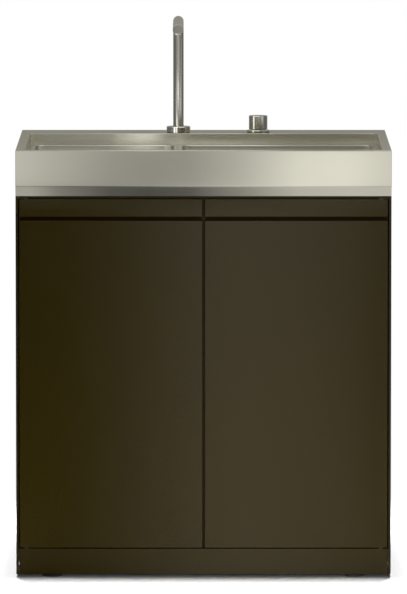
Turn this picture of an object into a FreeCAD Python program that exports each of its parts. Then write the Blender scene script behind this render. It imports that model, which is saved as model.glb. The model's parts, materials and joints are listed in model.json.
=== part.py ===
import FreeCAD, Part
import math
import operator
import os

import Sketcher
from FreeCAD import Placement, Rotation, Vector

# Free-standing kitchen sink module: pressed steel top with two bowls, swivel spout and a separate
# mixer knob, over a steel carcass with two pivoted doors, a plinth and four screw feet.
# Millimetres. +X is right, -Y is the front, +Z is up, and the origin is on the floor below the centre.

driving_sizes = {
    # Whole module
    "width": 800,
    "depth": 600,
    "worktop_height": 915,
    "sheet": 1.5,
    "clearance": 0.3,
    "slip_fit": 0.05,
    "press_gap": 0.025,
    # Sink top
    "apron_face": 76,
    "apron_band": 22,
    "apron_setback": 10,
    "top_edge_radius": 1.5,
    "rim_width": 20,
    "tap_deck": 110,
    "recess_depth": 22,
    "recess_corner": 4,
    "recess_edge_radius": 1,
    "mouth_edge_radius": 1.2,
    "side_flange": 12,
    "front_flange": 38,
    "rear_flange": 18,
    "tap_hole_radius": 17.5,
    # Bowls
    "side_ledge": 11,
    "front_ledge": 36,
    "bowl_length": 364,
    "bowl_depth": 190,
    "bowl_wall": 1.2,
    "bowl_corner": 25,
    "bowl_floor_radius": 20,
    "divider_width": 12,
    "divider_centre": -55,
    "pad_width": 120,
    "pad_length": 70,
    "pad_thickness": 3,
    # Waste fittings
    "drain_radius": 45,
    "waste_flange_radius": 56,
    "waste_flange_thick": 2,
    "cup_radius": 44,
    "cup_mouth_radius": 42,
    "cup_inner_radius": 39.5,
    "cup_depth": 50,
    "cup_floor": 2,
    "basket_seat_depth": 12,
    "waste_tail": 35,
    "waste_gasket": 3,
    "lock_ring_height": 12,
    "lock_ring_corners": 116,
    "pipe_radius": 20,
    "pipe_wall": 2,
    "pipe_bend": 45,
    "branch_drop": 58,
    "tee_arm": 45,
    "tee_leg": 55,
    "slip_nut_corners": 56,
    "slip_nut_length": 24,
    "trap_radius": 38,
    "trap_body_height": 70,
    "trap_cup_height": 70,
    "union_height": 18,
    "union_corners": 88,
    "trap_neck": 25,
    "trap_stub_radius": 21,
    "outlet_setback": 10,
    # Strainer baskets
    "basket_wall": 1,
    "basket_play": 0.6,
    "basket_depth": 26,
    "basket_rim": 1.5,
    "basket_hole_radius": 3,
    "basket_hole_circle": 24,
    "basket_holes": 12,
    "basket_post_radius": 4,
    "basket_rivet_radius": 2.5,
    "basket_grip_radius": 9,
    "basket_grip_height": 3,
    "basket_grip_drop": 3,
    # Spout
    "tap_from_rear": 74,
    "spout_tube_radius": 11.5,
    "spout_wall": 1.5,
    "spout_height": 258,
    "spout_bend": 37,
    "spout_reach": 220,
    "spout_slope": 2.7,
    "spout_base_radius": 26,
    "spout_base_height": 13.4,
    "base_floor": 2,
    "tap_gasket": 0.8,
    "tap_chamfer": 1,
    "shank_radius": 16,
    "shank_bore": 8,
    "shank_length": 56,
    "lock_nut_corners": 50,
    "lock_nut_height": 10,
    "aerator_radius": 7.5,
    "aerator_bore": 5,
    "aerator_drop": 8,
    "aerator_entry": 4,
    "aerator_setback": 14,
    "end_cap": 2,
    "end_cap_spigot": 4,
    # Mixer
    "mixer_x": 120,
    "mixer_flange_radius": 25.5,
    "mixer_flange_height": 5.5,
    "knob_gap": 1.5,
    "knob_radius": 20.3,
    "knob_height": 30,
    "spindle_radius": 5,
    "spindle_length": 50,
    "spindle_engaged": 24,
    "valve_length": 60,
    "spigot_radius": 5,
    "spigot_length": 30,
    "spigot_circle": 10,
    "grub_screw_radius": 2,
    "link_drop": 55,
    "link_bend": 30,
    "link_wall": 1,
    "link_entry": 8,
    # Carcass
    "carcass_setback": 10,
    "side_edge": 5,
    "edge_channel": 20,
    "rear_fold": 20,
    "rear_setback": 1.5,
    "ground_gap": 6.5,
    "bottom_height": 61,
    "bottom_lip": 14,
    "plinth_return": 12,
    "rail_setback": 8,
    "rail_depth": 15,
    "rail_height": 30,
    "rail_lip": 12,
    "post_width": 40,
    "post_depth": 18,
    "post_gap": 2,
    "service_width": 220,
    "service_low": 330,
    "service_high": 560,
    "service_corner": 12,
    "panel_screw_radius": 2,
    "panel_screw_head": 4,
    "panel_screw_head_height": 1.3,
    "panel_screw_length": 5,
    "top_screw_radius": 2.5,
    "top_screw_head": 4.5,
    "top_screw_head_height": 3.3,
    "top_screw_length": 6.5,
    "top_screw_spacing": 150,
    # Feet
    "foot_from_side": 76,
    "foot_from_end": 37,
    "foot_pad_radius": 22,
    "foot_pad_height": 6,
    "foot_chamfer": 1.5,
    "foot_collar_radius": 9,
    "foot_collar_height": 8,
    "stud_radius": 5,
    "stud_length": 38,
    "socket_radius": 10,
    "socket_flange": 3,
    "clip_low": 28,
    "clip_height": 12,
    "clip_wall": 4,
    "clip_wrap": 5,
    # Doors
    "door_top_gap": 7,
    "door_side_gap": 2,
    "door_centre_gap": 4,
    "door_floor_gap": 2.5,
    "door_thick": 20,
    "door_edge_radius": 2.5,
    "strip_height": 37,
    "strip_crease": 21.7,
    "strip_tilt": 1.5,
    "slot_height": 8.5,
    "slot_edge_radius": 1,
    "strip_thick": 8,
    "grip_back": 6,
    "grip_rise": 19,
    # Door pivots
    "pivot_from_edge": 14,
    "pivot_from_front": 7,
    "pin_radius": 3,
    "bush_radius": 5,
    "bush_length": 14,
    "bush_flange_radius": 6.5,
    "bush_flange": 1,
    "bush_hole": 16,
    "washer_radius": 6,
    "washer_thick": 1.5,
    "bracket_thick": 3,
    "bracket_gap": 1.5,
    "bracket_width": 23,
    # Door closing
    "bumper_radius": 4,
    "bumper_low": 150,
    "bumper_high": 700,
    "catch_width": 24,
    "catch_height": 15,
    "catch_from_centre": 24,
    "strike_thick": 1,
}

doc = FreeCAD.newDocument("kitchen_sink_module")
sheet = doc.addObject("Spreadsheet::Sheet", "dims")
for row, (alias, number) in enumerate(driving_sizes.items(), start=1):
    sheet.set(f"A{row}", alias)
    sheet.set(f"B{row}", str(number))
    sheet.setAlias(f"B{row}", alias)
doc.recompute()

arithmetic = {"+": operator.add, "-": operator.sub, "*": operator.mul, "/": operator.truediv}


# A length that carries both its present value and the sheet formula behind it.
class Size:
    def __init__(self, formula, value):
        self.formula = formula
        self.value = value

    def join(self, sign, other, swapped=False):
        first, second = (size_of(other), self) if swapped else (self, size_of(other))
        value = arithmetic[sign](first.value, second.value)
        return Size(f"({first.formula} {sign} {second.formula})", value)

    def __add__(self, other):
        return self.join("+", other)

    def __radd__(self, other):
        return self.join("+", other, swapped=True)

    def __sub__(self, other):
        return self.join("-", other)

    def __rsub__(self, other):
        return self.join("-", other, swapped=True)

    def __mul__(self, other):
        return self.join("*", other)

    def __rmul__(self, other):
        return self.join("*", other, swapped=True)

    def __truediv__(self, other):
        return self.join("/", other)

    def __neg__(self):
        return self.join("*", -1)


def size_of(amount):
    if isinstance(amount, Size):
        return amount
    return Size(f"({float(amount)})", float(amount))


class Sizes:
    def __getattr__(self, alias):
        return Size(f"dims.{alias}", float(sheet.get(alias)))


dim = Sizes()


def bind(thing, prop, amount):
    thing.setExpression(prop, size_of(amount).formula)


def place(thing, x=0, y=0, z=0):
    for axis, amount in zip("xyz", (x, y, z)):
        bind(thing, f"Placement.Base.{axis}", amount)
    return thing


turns = {"x": Rotation(Vector(0, 1, 0), 90), "y": Rotation(Vector(1, 0, 0), -90), "z": Rotation()}
hexagon_flat_count = 6
grip_flat_count = 10
sub_parts = []


def finish(thing, label):
    thing.Label = label
    sub_parts.append(thing)
    return thing


# A sketch closed through straight lines, each corner held from the sketch origin.
def draw_polygon(sketch, corners):
    count = len(corners)
    seeds = [Vector(size_of(x).value, size_of(y).value, 0) for x, y in corners]
    first = sketch.GeometryCount
    for index in range(count):
        sketch.addGeometry(Part.LineSegment(seeds[index], seeds[(index + 1) % count]), False)
    for index in range(count):
        follower = first + (index + 1) % count
        sketch.addConstraint(Sketcher.Constraint("Coincident", first + index, 2, follower, 1))
    for index, (x, y) in enumerate(corners):
        hold_point(sketch, first + index, 1, x, y)


def hold_point(sketch, line, end, x, y):
    hold(sketch, "DistanceX", line, end, x)
    hold(sketch, "DistanceY", line, end, y)


def hold(sketch, kind, line, end, amount):
    value = size_of(amount).value
    number = sketch.addConstraint(Sketcher.Constraint(kind, -1, 1, line, end, value))
    bind(sketch, f"Constraints[{number}]", amount)


def draw_rectangle(sketch, x, y):
    draw_polygon(sketch, [(x[0], y[0]), (x[1], y[0]), (x[1], y[1]), (x[0], y[1])])


def draw_circle(sketch, x, y, radius):
    centre = Vector(size_of(x).value, size_of(y).value, 0)
    value = size_of(radius).value
    circle = sketch.addGeometry(Part.Circle(centre, Vector(0, 0, 1), value), False)
    hold_point(sketch, circle, 3, x, y)
    number = sketch.addConstraint(Sketcher.Constraint("Radius", circle, value))
    bind(sketch, f"Constraints[{number}]", radius)


# Four lines and four tangent quarter arcs, each arc held by its centre and radius.
def draw_rounded_rectangle(sketch, x, y, radius):
    low_x, high_x = size_of(x[0]), size_of(x[1])
    low_y, high_y = size_of(y[0]), size_of(y[1])
    r = size_of(radius)
    left, right = low_x + r, high_x - r
    near, far = low_y + r, high_y - r
    centres = [(right, far), (left, far), (left, near), (right, near)]
    arcs = []
    for quarter, (cx, cy) in enumerate(centres):
        circle = Part.Circle(Vector(cx.value, cy.value, 0), Vector(0, 0, 1), r.value)
        start = quarter * math.pi / 2
        arcs.append(sketch.addGeometry(Part.ArcOfCircle(circle, start, start + math.pi / 2), False))
    for quarter, (cx, cy) in enumerate(centres):
        hold_point(sketch, arcs[quarter], 3, cx, cy)
        number = sketch.addConstraint(Sketcher.Constraint("Radius", arcs[quarter], r.value))
        bind(sketch, f"Constraints[{number}]", r)
    for quarter in range(4):
        arc = arcs[quarter]
        next_arc = arcs[(quarter + 1) % 4]
        ends = [sketch.Geometry[arc].EndPoint, sketch.Geometry[next_arc].StartPoint]
        line = sketch.addGeometry(Part.LineSegment(*ends), False)
        sketch.addConstraint(Sketcher.Constraint("Tangent", arc, 2, line, 1))
        sketch.addConstraint(Sketcher.Constraint("Tangent", line, 2, next_arc, 1))


# An open line of upright and level runs, with a tangent arc of one radius at each turn.
def draw_bent_path(sketch, points, radius):
    r = size_of(radius).value
    spots = [Vector(size_of(x).value, size_of(y).value, 0) for x, y in points]
    headings = [(spots[i + 1] - spots[i]).normalize() for i in range(len(spots) - 1)]
    last = len(headings) - 1
    runs = []
    for index, heading in enumerate(headings):
        start = spots[index] if index == 0 else spots[index] + heading * r
        end = spots[index + 1] if index == last else spots[index + 1] - heading * r
        runs.append(sketch.addGeometry(Part.LineSegment(start, end), False))
        upright = abs(heading.x) < abs(heading.y)
        sketch.addConstraint(Sketcher.Constraint("Vertical" if upright else "Horizontal", runs[index]))
        if 0 < index < last:
            x, y = points[index]
            hold(sketch, "DistanceX" if upright else "DistanceY", runs[index], 1, x if upright else y)
    hold_point(sketch, runs[0], 1, *points[0])
    hold_point(sketch, runs[-1], 2, *points[-1])
    for index in range(last):
        add_tangent_arc(sketch, runs[index], runs[index + 1], headings[index], radius)


def add_tangent_arc(sketch, run, next_run, heading, radius):
    start = sketch.Geometry[run].EndPoint
    end = sketch.Geometry[next_run].StartPoint
    leaving = (sketch.Geometry[next_run].EndPoint - end).normalize()
    r = size_of(radius).value
    inward = (leaving - heading * heading.dot(leaving)).normalize()
    centre = start + inward * r
    halfway = centre + ((start + end) / 2 - centre).normalize() * r
    arc = sketch.addGeometry(Part.Arc(start, halfway, end), False)
    starts_here = sketch.Geometry[arc].StartPoint.distanceToPoint(start) < r / 100
    near_end, far_end = (1, 2) if starts_here else (2, 1)
    sketch.addConstraint(Sketcher.Constraint("Tangent", run, 2, arc, near_end))
    sketch.addConstraint(Sketcher.Constraint("Tangent", arc, far_end, next_run, 1))
    number = sketch.addConstraint(Sketcher.Constraint("Radius", arc, r))
    bind(sketch, f"Constraints[{number}]", radius)


# A body with its features in order. Sketches on its XY plane look down, on its XZ plane from the front
# and on its YZ plane from the right.
class Piece:
    def __init__(self, name):
        self.name = name
        self.body = doc.addObject("PartDesign::Body", f"{name}_body")

    def sketch(self, plane, offset=0):
        sketch = self.body.newObject("Sketcher::SketchObject", f"{self.name}_sketch")
        planes = {feature.Role: feature for feature in self.body.Origin.OriginFeatures}
        sketch.AttachmentSupport = [(planes[f"{plane}_Plane"], "")]
        sketch.MapMode = "FlatFace"
        bind(sketch, "AttachmentOffset.Base.z", offset)
        return sketch

    def pad(self, sketch, length, backwards=False):
        pad = self.body.newObject("PartDesign::Pad", f"{self.name}_pad")
        pad.Profile = sketch
        bind(pad, "Length", length)
        pad.Reversed = backwards
        doc.recompute()
        return pad

    def pocket(self, sketch, length, forwards=False):
        before = self.body.Shape.Volume
        pocket = self.body.newObject("PartDesign::Pocket", f"{self.name}_pocket")
        pocket.Profile = sketch
        bind(pocket, "Length", length)
        pocket.Reversed = forwards
        doc.recompute()
        if not self.body.Shape.Volume < before:
            raise RuntimeError(f"a pocket of {self.name} cuts nothing")
        return pocket

    def revolve(self, sketch):
        revolution = self.body.newObject("PartDesign::Revolution", f"{self.name}_revolution")
        revolution.Profile = sketch
        revolution.ReferenceAxis = (sketch, ["V_Axis"])
        revolution.Angle = 360
        doc.recompute()
        return revolution

    def pipe(self, profile, spine):
        pipe = self.body.newObject("PartDesign::AdditivePipe", f"{self.name}_pipe")
        pipe.Profile = profile
        pipe.Spine = (spine, [f"Edge{i + 1}" for i in range(spine.GeometryCount)])
        doc.recompute()
        return pipe

    def round_edges(self, radius, wanted):
        doc.recompute()
        base = self.body.Tip
        names = [f"Edge{i}" for i, edge in enumerate(base.Shape.Edges, start=1) if wanted(edge)]
        if not names:
            raise RuntimeError(f"no edge of {self.name} to round")
        fillet = self.body.newObject("PartDesign::Fillet", f"{self.name}_fillet")
        fillet.Base = (base, names)
        bind(fillet, "Radius", radius)
        doc.recompute()
        return fillet

    def circle_of_holes(self, pocket, count):
        pattern = self.body.newObject("PartDesign::PolarPattern", f"{self.name}_pattern")
        pattern.Originals = [pocket]
        axes = {feature.Role: feature for feature in self.body.Origin.OriginFeatures}
        pattern.Axis = (axes["Z_Axis"], [""])
        pattern.Angle = 360
        bind(pattern, "Occurrences", count)
        self.body.Tip = pattern
        doc.recompute()
        return pattern


def at(value, target):
    return abs(value - size_of(target).value) < 1e-4


# True for an edge whose two ends both lie at the given coordinates.
def lies_at(x=None, y=None, z=None):
    def wanted(edge):
        ends = [vertex.Point for vertex in edge.Vertexes]
        tests = [(x, "x"), (y, "y"), (z, "z")]
        return all(at(getattr(p, axis), target) for p in ends for target, axis in tests if target is not None)
    return wanted


# True for an edge at the given level whose two ends lie in a rectangle or on its border.
def lies_within(x, y, z):
    def inside(value, limits):
        return size_of(limits[0]).value - 1e-4 < value < size_of(limits[1]).value + 1e-4

    def wanted(edge):
        ends = [vertex.Point for vertex in edge.Vertexes]
        return all(at(p.z, z) and inside(p.x, x) and inside(p.y, y) for p in ends)
    return wanted


def turned(name, profile, x=0, y=0, z=0):
    piece = Piece(name)
    sketch = piece.sketch("XZ")
    draw_polygon(sketch, profile)
    piece.revolve(sketch)
    place(piece.body, x, y, z)
    return piece.body


def ring(name, inner, outer, low, high, x=0, y=0, z=0):
    return turned(name, [(inner, low), (outer, low), (outer, high), (inner, high)], x, y, z)


# A nut with flats all round, turned from upright to lie along another axis.
def nut(name, bore, across_corners, count, height, x, y, z, along="z"):
    piece = Piece(name)
    section = piece.sketch("XY")
    angles = [2 * math.pi * corner / count for corner in range(count)]
    draw_polygon(section, [
        (across_corners / 2 * math.cos(angle), across_corners / 2 * math.sin(angle)) for angle in angles])
    draw_circle(section, 0, 0, bore)
    piece.pad(section, height)
    piece.body.Placement = Placement(Vector(), turns[along])
    return place(piece.body, x, y, z)


def box(name, x, y, z):
    block = doc.addObject("Part::Box", name)
    bind(block, "Length", size_of(x[1]) - x[0])
    bind(block, "Width", size_of(y[1]) - y[0])
    bind(block, "Height", size_of(z[1]) - z[0])
    return place(block, x[0], y[0], z[0])


def rod(name, radius, length, x, y, z, along="z"):
    cylinder = doc.addObject("Part::Cylinder", name)
    bind(cylinder, "Radius", radius)
    bind(cylinder, "Height", length)
    cylinder.Placement = Placement(Vector(), turns[along])
    return place(cylinder, x, y, z)


def fuse(name, *pieces):
    union = doc.addObject("Part::MultiFuse", name)
    union.Shapes = list(pieces)
    return union


def cut(name, base, *tools):
    result = doc.addObject("Part::Cut", name)
    result.Base = base
    result.Tool = tools[0] if len(tools) == 1 else fuse(f"{name}_tools", *tools)
    return result


def group(name, pieces):
    bundle = doc.addObject("Part::Compound", f"{name}_group")
    bundle.Links = list(pieces)
    return finish(bundle, name)


def span(first, second):
    first, second = size_of(first), size_of(second)
    return (first, second) if first.value < second.value else (second, first)


sides = {"left": -1, "right": 1}

# Planes and levels that several pieces share.
half_width = dim.width / 2
front = -dim.depth / 2
rear = dim.depth / 2
top = dim.worktop_height
skirt_low = top - dim.apron_face - dim.apron_band
deck_under = top - dim.sheet
recess_floor = top - dim.recess_depth
recess_under = recess_floor - dim.sheet
recess_x = half_width - dim.rim_width
recess_front = front + dim.rim_width
recess_rear = rear - dim.tap_deck
bowl_front = recess_front + dim.front_ledge
bowl_rear = bowl_front + dim.bowl_length
bowl_floor = recess_floor - dim.bowl_depth
bowl_under = bowl_floor - dim.bowl_wall
bowl_spans = {
    "left": (dim.side_ledge - recess_x, dim.divider_centre - dim.divider_width / 2),
    "right": (dim.divider_centre + dim.divider_width / 2, recess_x - dim.side_ledge),
}
drain_x = {side: (low + high) / 2 for side, (low, high) in bowl_spans.items()}
drain_y = (bowl_front + bowl_rear) / 2

carcass_front = front + dim.carcass_setback
carcass_rear = rear - dim.rear_setback
inner_x = half_width - dim.sheet
door_outer = half_width - dim.side_edge - dim.door_side_gap
door_inner = dim.door_centre_gap / 2
door_top = skirt_low - dim.door_top_gap
door_low = dim.bottom_height + dim.door_floor_gap
door_back = carcass_front + dim.door_thick
pivot_x = door_outer - dim.pivot_from_edge
pivot_y = carcass_front + dim.pivot_from_front
rail_front = door_back + dim.rail_setback
rail_low = skirt_low - dim.rail_height
bottom_under = dim.bottom_height - dim.sheet
post_front = door_back + dim.post_gap
back_face = carcass_rear - dim.sheet
tap_y = rear - dim.tap_from_rear
tap_spots = {"spout": dim.divider_centre, "mixer": dim.mixer_x}
foot_x = half_width - dim.foot_from_side
foot_y = rear - dim.foot_from_end
screw_x = (half_width - dim.side_flange + inner_x) / 2
top_screw_rows = [-dim.top_screw_spacing, size_of(0), dim.top_screw_spacing]
panel_screw_x = half_width - dim.rear_fold / 2
panel_screw_count = 4
panel_screw_pitch = (rail_low - dim.bottom_height) / panel_screw_count
panel_screw_rows = [dim.bottom_height + panel_screw_pitch * (row + 0.5) for row in range(panel_screw_count)]


def make_sink_top():
    piece = Piece("sink_top")
    band_low = front + dim.apron_setback
    crease = top - dim.apron_face
    outline = piece.sketch("YZ", -half_width)
    draw_polygon(outline, [
        (front, top), (rear, top), (rear, skirt_low), (band_low, skirt_low), (front, crease)])
    piece.pad(outline, dim.width)
    bends = [lies_at(z=top), lies_at(y=front, z=crease)]
    bends += [lies_at(x=sign * half_width, y=front) for sign in sides.values()]
    piece.round_edges(dim.top_edge_radius, lambda edge: any(wanted(edge) for wanted in bends))

    flange_top = skirt_low + dim.sheet
    hollow = piece.sketch("YZ", dim.sheet - half_width)
    draw_polygon(hollow, [
        (front + dim.sheet, deck_under), (rear - dim.sheet, deck_under), (rear - dim.sheet, flange_top),
        (band_low + dim.sheet, flange_top), (front + dim.sheet, crease)])
    piece.pocket(hollow, dim.width - 2 * dim.sheet, forwards=True)

    mouth = piece.sketch("XY", skirt_low)
    mouth_x = half_width - dim.side_flange
    draw_rectangle(mouth, (-mouth_x, mouth_x), (band_low + dim.front_flange, rear - dim.rear_flange))
    piece.pocket(mouth, dim.sheet, forwards=True)

    tray = piece.sketch("XY", recess_under)
    tray_x = recess_x + dim.sheet
    tray_radius = dim.recess_corner + dim.sheet
    tray_y = (recess_front - dim.sheet, recess_rear + dim.sheet)
    draw_rounded_rectangle(tray, (-tray_x, tray_x), tray_y, tray_radius)
    piece.pad(tray, dim.recess_depth + dim.sheet / 2)

    recess = piece.sketch("XY", top)
    draw_rounded_rectangle(recess, (-recess_x, recess_x), (recess_front, recess_rear), dim.recess_corner)
    piece.pocket(recess, dim.recess_depth)
    recess_y = (recess_front, recess_rear)
    piece.round_edges(dim.recess_edge_radius, lies_within((-recess_x, recess_x), recess_y, top))

    bowl_mouths = piece.sketch("XY", recess_floor)
    for bowl_x in bowl_spans.values():
        draw_rounded_rectangle(bowl_mouths, bowl_x, (bowl_front, bowl_rear), dim.bowl_corner)
    piece.pocket(bowl_mouths, dim.sheet)
    mouths_x = (bowl_spans["left"][0], bowl_spans["right"][1])
    mouths_y = (bowl_front, bowl_rear)
    piece.round_edges(dim.mouth_edge_radius, lies_within(mouths_x, mouths_y, recess_floor))

    tap_holes = piece.sketch("XY", top)
    for tap_x in tap_spots.values():
        draw_circle(tap_holes, tap_x, tap_y, dim.tap_hole_radius)
    piece.pocket(tap_holes, dim.sheet)

    screw_holes = piece.sketch("XY", skirt_low)
    for sign in sides.values():
        for y in top_screw_rows:
            draw_circle(screw_holes, sign * screw_x, y, dim.top_screw_radius + dim.slip_fit)
    piece.pocket(screw_holes, dim.sheet, forwards=True)
    finish(piece.body, "sink_top")


# A drawn bowl with rounded corners, welded under the edge of its cut-out.
def make_bowl(side):
    low, high = bowl_spans[side]
    wall = dim.bowl_wall
    piece = Piece(f"{side}_bowl")
    outside = piece.sketch("XY", bowl_under)
    draw_rounded_rectangle(outside, (low - wall, high + wall), (bowl_front - wall, bowl_rear + wall),
                           dim.bowl_corner + wall)
    piece.pad(outside, recess_under - bowl_under)
    piece.round_edges(dim.bowl_floor_radius + wall, lies_at(z=bowl_under))

    hole = piece.sketch("XY", bowl_under)
    draw_circle(hole, drain_x[side], drain_y, dim.drain_radius)
    inside = Piece(f"{side}_bowl_space")
    space = inside.sketch("XY", bowl_floor)
    draw_rounded_rectangle(space, (low, high), (bowl_front, bowl_rear), dim.bowl_corner)
    inside.pad(space, dim.bowl_depth)
    inside.round_edges(dim.bowl_floor_radius, lies_at(z=bowl_floor))
    piece.pocket(hole, dim.bowl_wall, forwards=True)
    finish(cut(f"{side}_bowl_shell", piece.body, inside.body), f"{side}_bowl")


def make_sound_pads():
    pads = []
    for side in sides:
        x = (drain_x[side] - dim.pad_width / 2, drain_x[side] + dim.pad_width / 2)
        pad_rear = bowl_rear - dim.bowl_floor_radius
        z = (bowl_under - dim.pad_thickness, bowl_under)
        pads.append(box(f"{side}_sound_pad", x, (pad_rear - dim.pad_length, pad_rear), z))
    group("bowl_sound_pads", pads)


# Basket-strainer waste: a flanged cup clamped through the bowl floor by a ring below it.
def make_wastes():
    gaskets = []
    rings = []
    tail_inner = dim.pipe_radius - dim.pipe_wall
    cup_inside = dim.cup_floor - dim.cup_depth
    seat = -dim.basket_seat_depth
    tail_end = -dim.cup_depth - dim.waste_tail
    profile = [
        (dim.cup_mouth_radius, dim.waste_flange_thick), (dim.waste_flange_radius, dim.waste_flange_thick),
        (dim.waste_flange_radius, 0), (dim.cup_radius, 0), (dim.cup_radius, -dim.cup_depth),
        (dim.pipe_radius, -dim.cup_depth), (dim.pipe_radius, tail_end), (tail_inner, tail_end),
        (tail_inner, cup_inside), (dim.cup_inner_radius, cup_inside), (dim.cup_inner_radius, seat),
        (dim.cup_mouth_radius, seat)]
    gasket_low = -dim.bowl_wall - dim.waste_gasket
    inner = dim.cup_radius + dim.slip_fit
    height = dim.lock_ring_height
    for side in sides:
        spot = (drain_x[side], drain_y, bowl_floor)
        finish(turned(f"{side}_waste", profile, *spot), f"{side}_waste_body")
        outer = dim.waste_flange_radius
        gaskets.append(ring(f"{side}_gasket", inner, outer, gasket_low, -dim.bowl_wall, *spot))
        ring_spot = (drain_x[side], drain_y, bowl_floor + gasket_low - height)
        rings.append(nut(f"{side}_ring", inner, dim.lock_ring_corners, grip_flat_count, height, *ring_spot))
    group("waste_gaskets", gaskets)
    group("waste_lock_rings", rings)


# A thin pierced cup, seated on the step inside its waste, and a lifting knob riveted to its floor.
def make_basket(side):
    rim_low = dim.clearance - dim.basket_seat_depth
    rim_high = rim_low + dim.basket_rim
    outer = dim.cup_inner_radius - dim.basket_play
    inner = outer - dim.basket_wall
    low = rim_low - dim.basket_depth
    floor = low + dim.basket_wall
    grip_top = -dim.basket_grip_drop
    grip_low = grip_top - dim.basket_grip_height
    rivet_hole = dim.basket_rivet_radius + dim.slip_fit
    piece = Piece(f"{side}_basket")
    section = piece.sketch("XZ")
    draw_polygon(section, [
        (rivet_hole, low), (outer, low), (outer, rim_low), (dim.cup_mouth_radius - dim.clearance, rim_low),
        (dim.cup_mouth_radius - dim.clearance, rim_high), (inner, rim_high), (inner, floor),
        (rivet_hole, floor)])
    piece.revolve(section)
    hole = piece.sketch("XY", low)
    draw_circle(hole, dim.basket_hole_circle, 0, dim.basket_hole_radius)
    pocket = piece.pocket(hole, dim.basket_wall, forwards=True)
    piece.circle_of_holes(pocket, dim.basket_holes)
    spot = (drain_x[side], drain_y, bowl_floor)
    place(piece.body, *spot)
    finish(piece.body, f"{side}_strainer_basket")
    knob = turned(f"{side}_knob", [
        (0, low), (dim.basket_rivet_radius, low), (dim.basket_rivet_radius, floor),
        (dim.basket_post_radius, floor), (dim.basket_post_radius, grip_low),
        (dim.basket_grip_radius, grip_low), (dim.basket_grip_radius, grip_top), (0, grip_top)], *spot)
    finish(knob, f"{side}_strainer_knob")


tail_low = bowl_floor - dim.cup_depth - dim.waste_tail
branch_height = tail_low - dim.branch_drop
trap_x = (drain_x["left"] + drain_x["right"]) / 2
tee_low = branch_height - dim.tee_leg
trap_top = tee_low - dim.trap_neck
trap_low = trap_top - dim.trap_body_height
outlet_height = (trap_top + trap_low) / 2
pipe_inner = dim.pipe_radius - dim.pipe_wall
outlet_end = rear - dim.outlet_setback


def draw_tube_section(sketch, outer, inner):
    draw_circle(sketch, 0, 0, outer)
    draw_circle(sketch, 0, 0, inner)


# Each branch drops from its waste and turns level towards the tee. The right one is turned half round.
def make_waste_pipe(side):
    piece = Piece(f"{side}_pipe")
    section = piece.sketch("XY")
    draw_tube_section(section, dim.pipe_radius, pipe_inner)
    route = piece.sketch("XZ")
    run = (drain_x["right"] - drain_x["left"]) / 2 - dim.tee_arm
    draw_bent_path(route, [(0, 0), (0, -dim.branch_drop), (run, -dim.branch_drop)], dim.pipe_bend)
    piece.pipe(section, route)
    half_turns = {"left": 0, "right": 180}
    piece.body.Placement = Placement(Vector(), Rotation(Vector(0, 0, 1), half_turns[side]))
    place(piece.body, drain_x[side], drain_y, tail_low)
    finish(piece.body, f"{side}_waste_pipe")


def make_tee():
    arm_low = trap_x - dim.tee_arm
    arm_length = 2 * dim.tee_arm
    shells = []
    spaces = []
    for radius, parts in ((dim.pipe_radius, shells), (pipe_inner, spaces)):
        parts.append(rod("tee_arm", radius, arm_length, arm_low, drain_y, branch_height, "x"))
        parts.append(rod("tee_leg", radius, dim.tee_leg, trap_x, drain_y, tee_low))
    finish(cut("tee_shell", fuse("tee_outside", *shells), *spaces), "waste_tee")


# A bottle trap: a head with the inlet neck and the outlet stub, and a cup that unscrews for cleaning.
def make_trap():
    wall = dim.pipe_wall
    stub_end = drain_y + dim.trap_radius + dim.trap_neck
    head = rod("trap_head", dim.trap_radius, dim.trap_body_height, trap_x, drain_y, trap_low)
    neck = rod("trap_inlet", dim.pipe_radius, dim.trap_neck, trap_x, drain_y, trap_top)
    stub = rod("trap_stub", dim.trap_stub_radius, stub_end - drain_y, trap_x, drain_y, outlet_height, "y")
    inside = dim.trap_radius - wall
    chamber = rod("trap_chamber", inside, dim.trap_body_height - wall, trap_x, drain_y, trap_low)
    inlet = rod("trap_inlet_bore", pipe_inner, dim.trap_neck + wall, trap_x, drain_y, trap_top - wall)
    outlet = rod("trap_stub_bore", pipe_inner, stub_end - drain_y, trap_x, drain_y, outlet_height, "y")
    shell = cut("trap_head_shell", fuse("trap_outside", head, neck, stub), chamber, inlet, outlet)
    finish(shell, "trap_body")

    cup_floor = 2 * wall
    cup = turned("trap_bottle", [
        (0, 0), (inside, 0), (dim.trap_radius, wall), (dim.trap_radius, dim.trap_cup_height),
        (inside, dim.trap_cup_height), (inside, cup_floor), (0, cup_floor)],
        trap_x, drain_y, trap_low - dim.trap_cup_height)
    union_low = trap_low - dim.union_height
    bore = dim.trap_radius - wall / 2
    spot = (trap_x, drain_y, union_low)
    union = nut("trap_union", bore, dim.union_corners, grip_flat_count, dim.union_height, *spot)
    finish(fuse("trap_cup_with_union", cup, union), "trap_cup")

    pipe_length = outlet_end - stub_end
    outside = rod("outlet_outside", dim.pipe_radius, pipe_length, trap_x, stub_end, outlet_height, "y")
    space = rod("outlet_space", pipe_inner, pipe_length, trap_x, stub_end, outlet_height, "y")
    finish(cut("outlet_tube", outside, space), "trap_outlet_pipe")
    return stub_end


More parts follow.
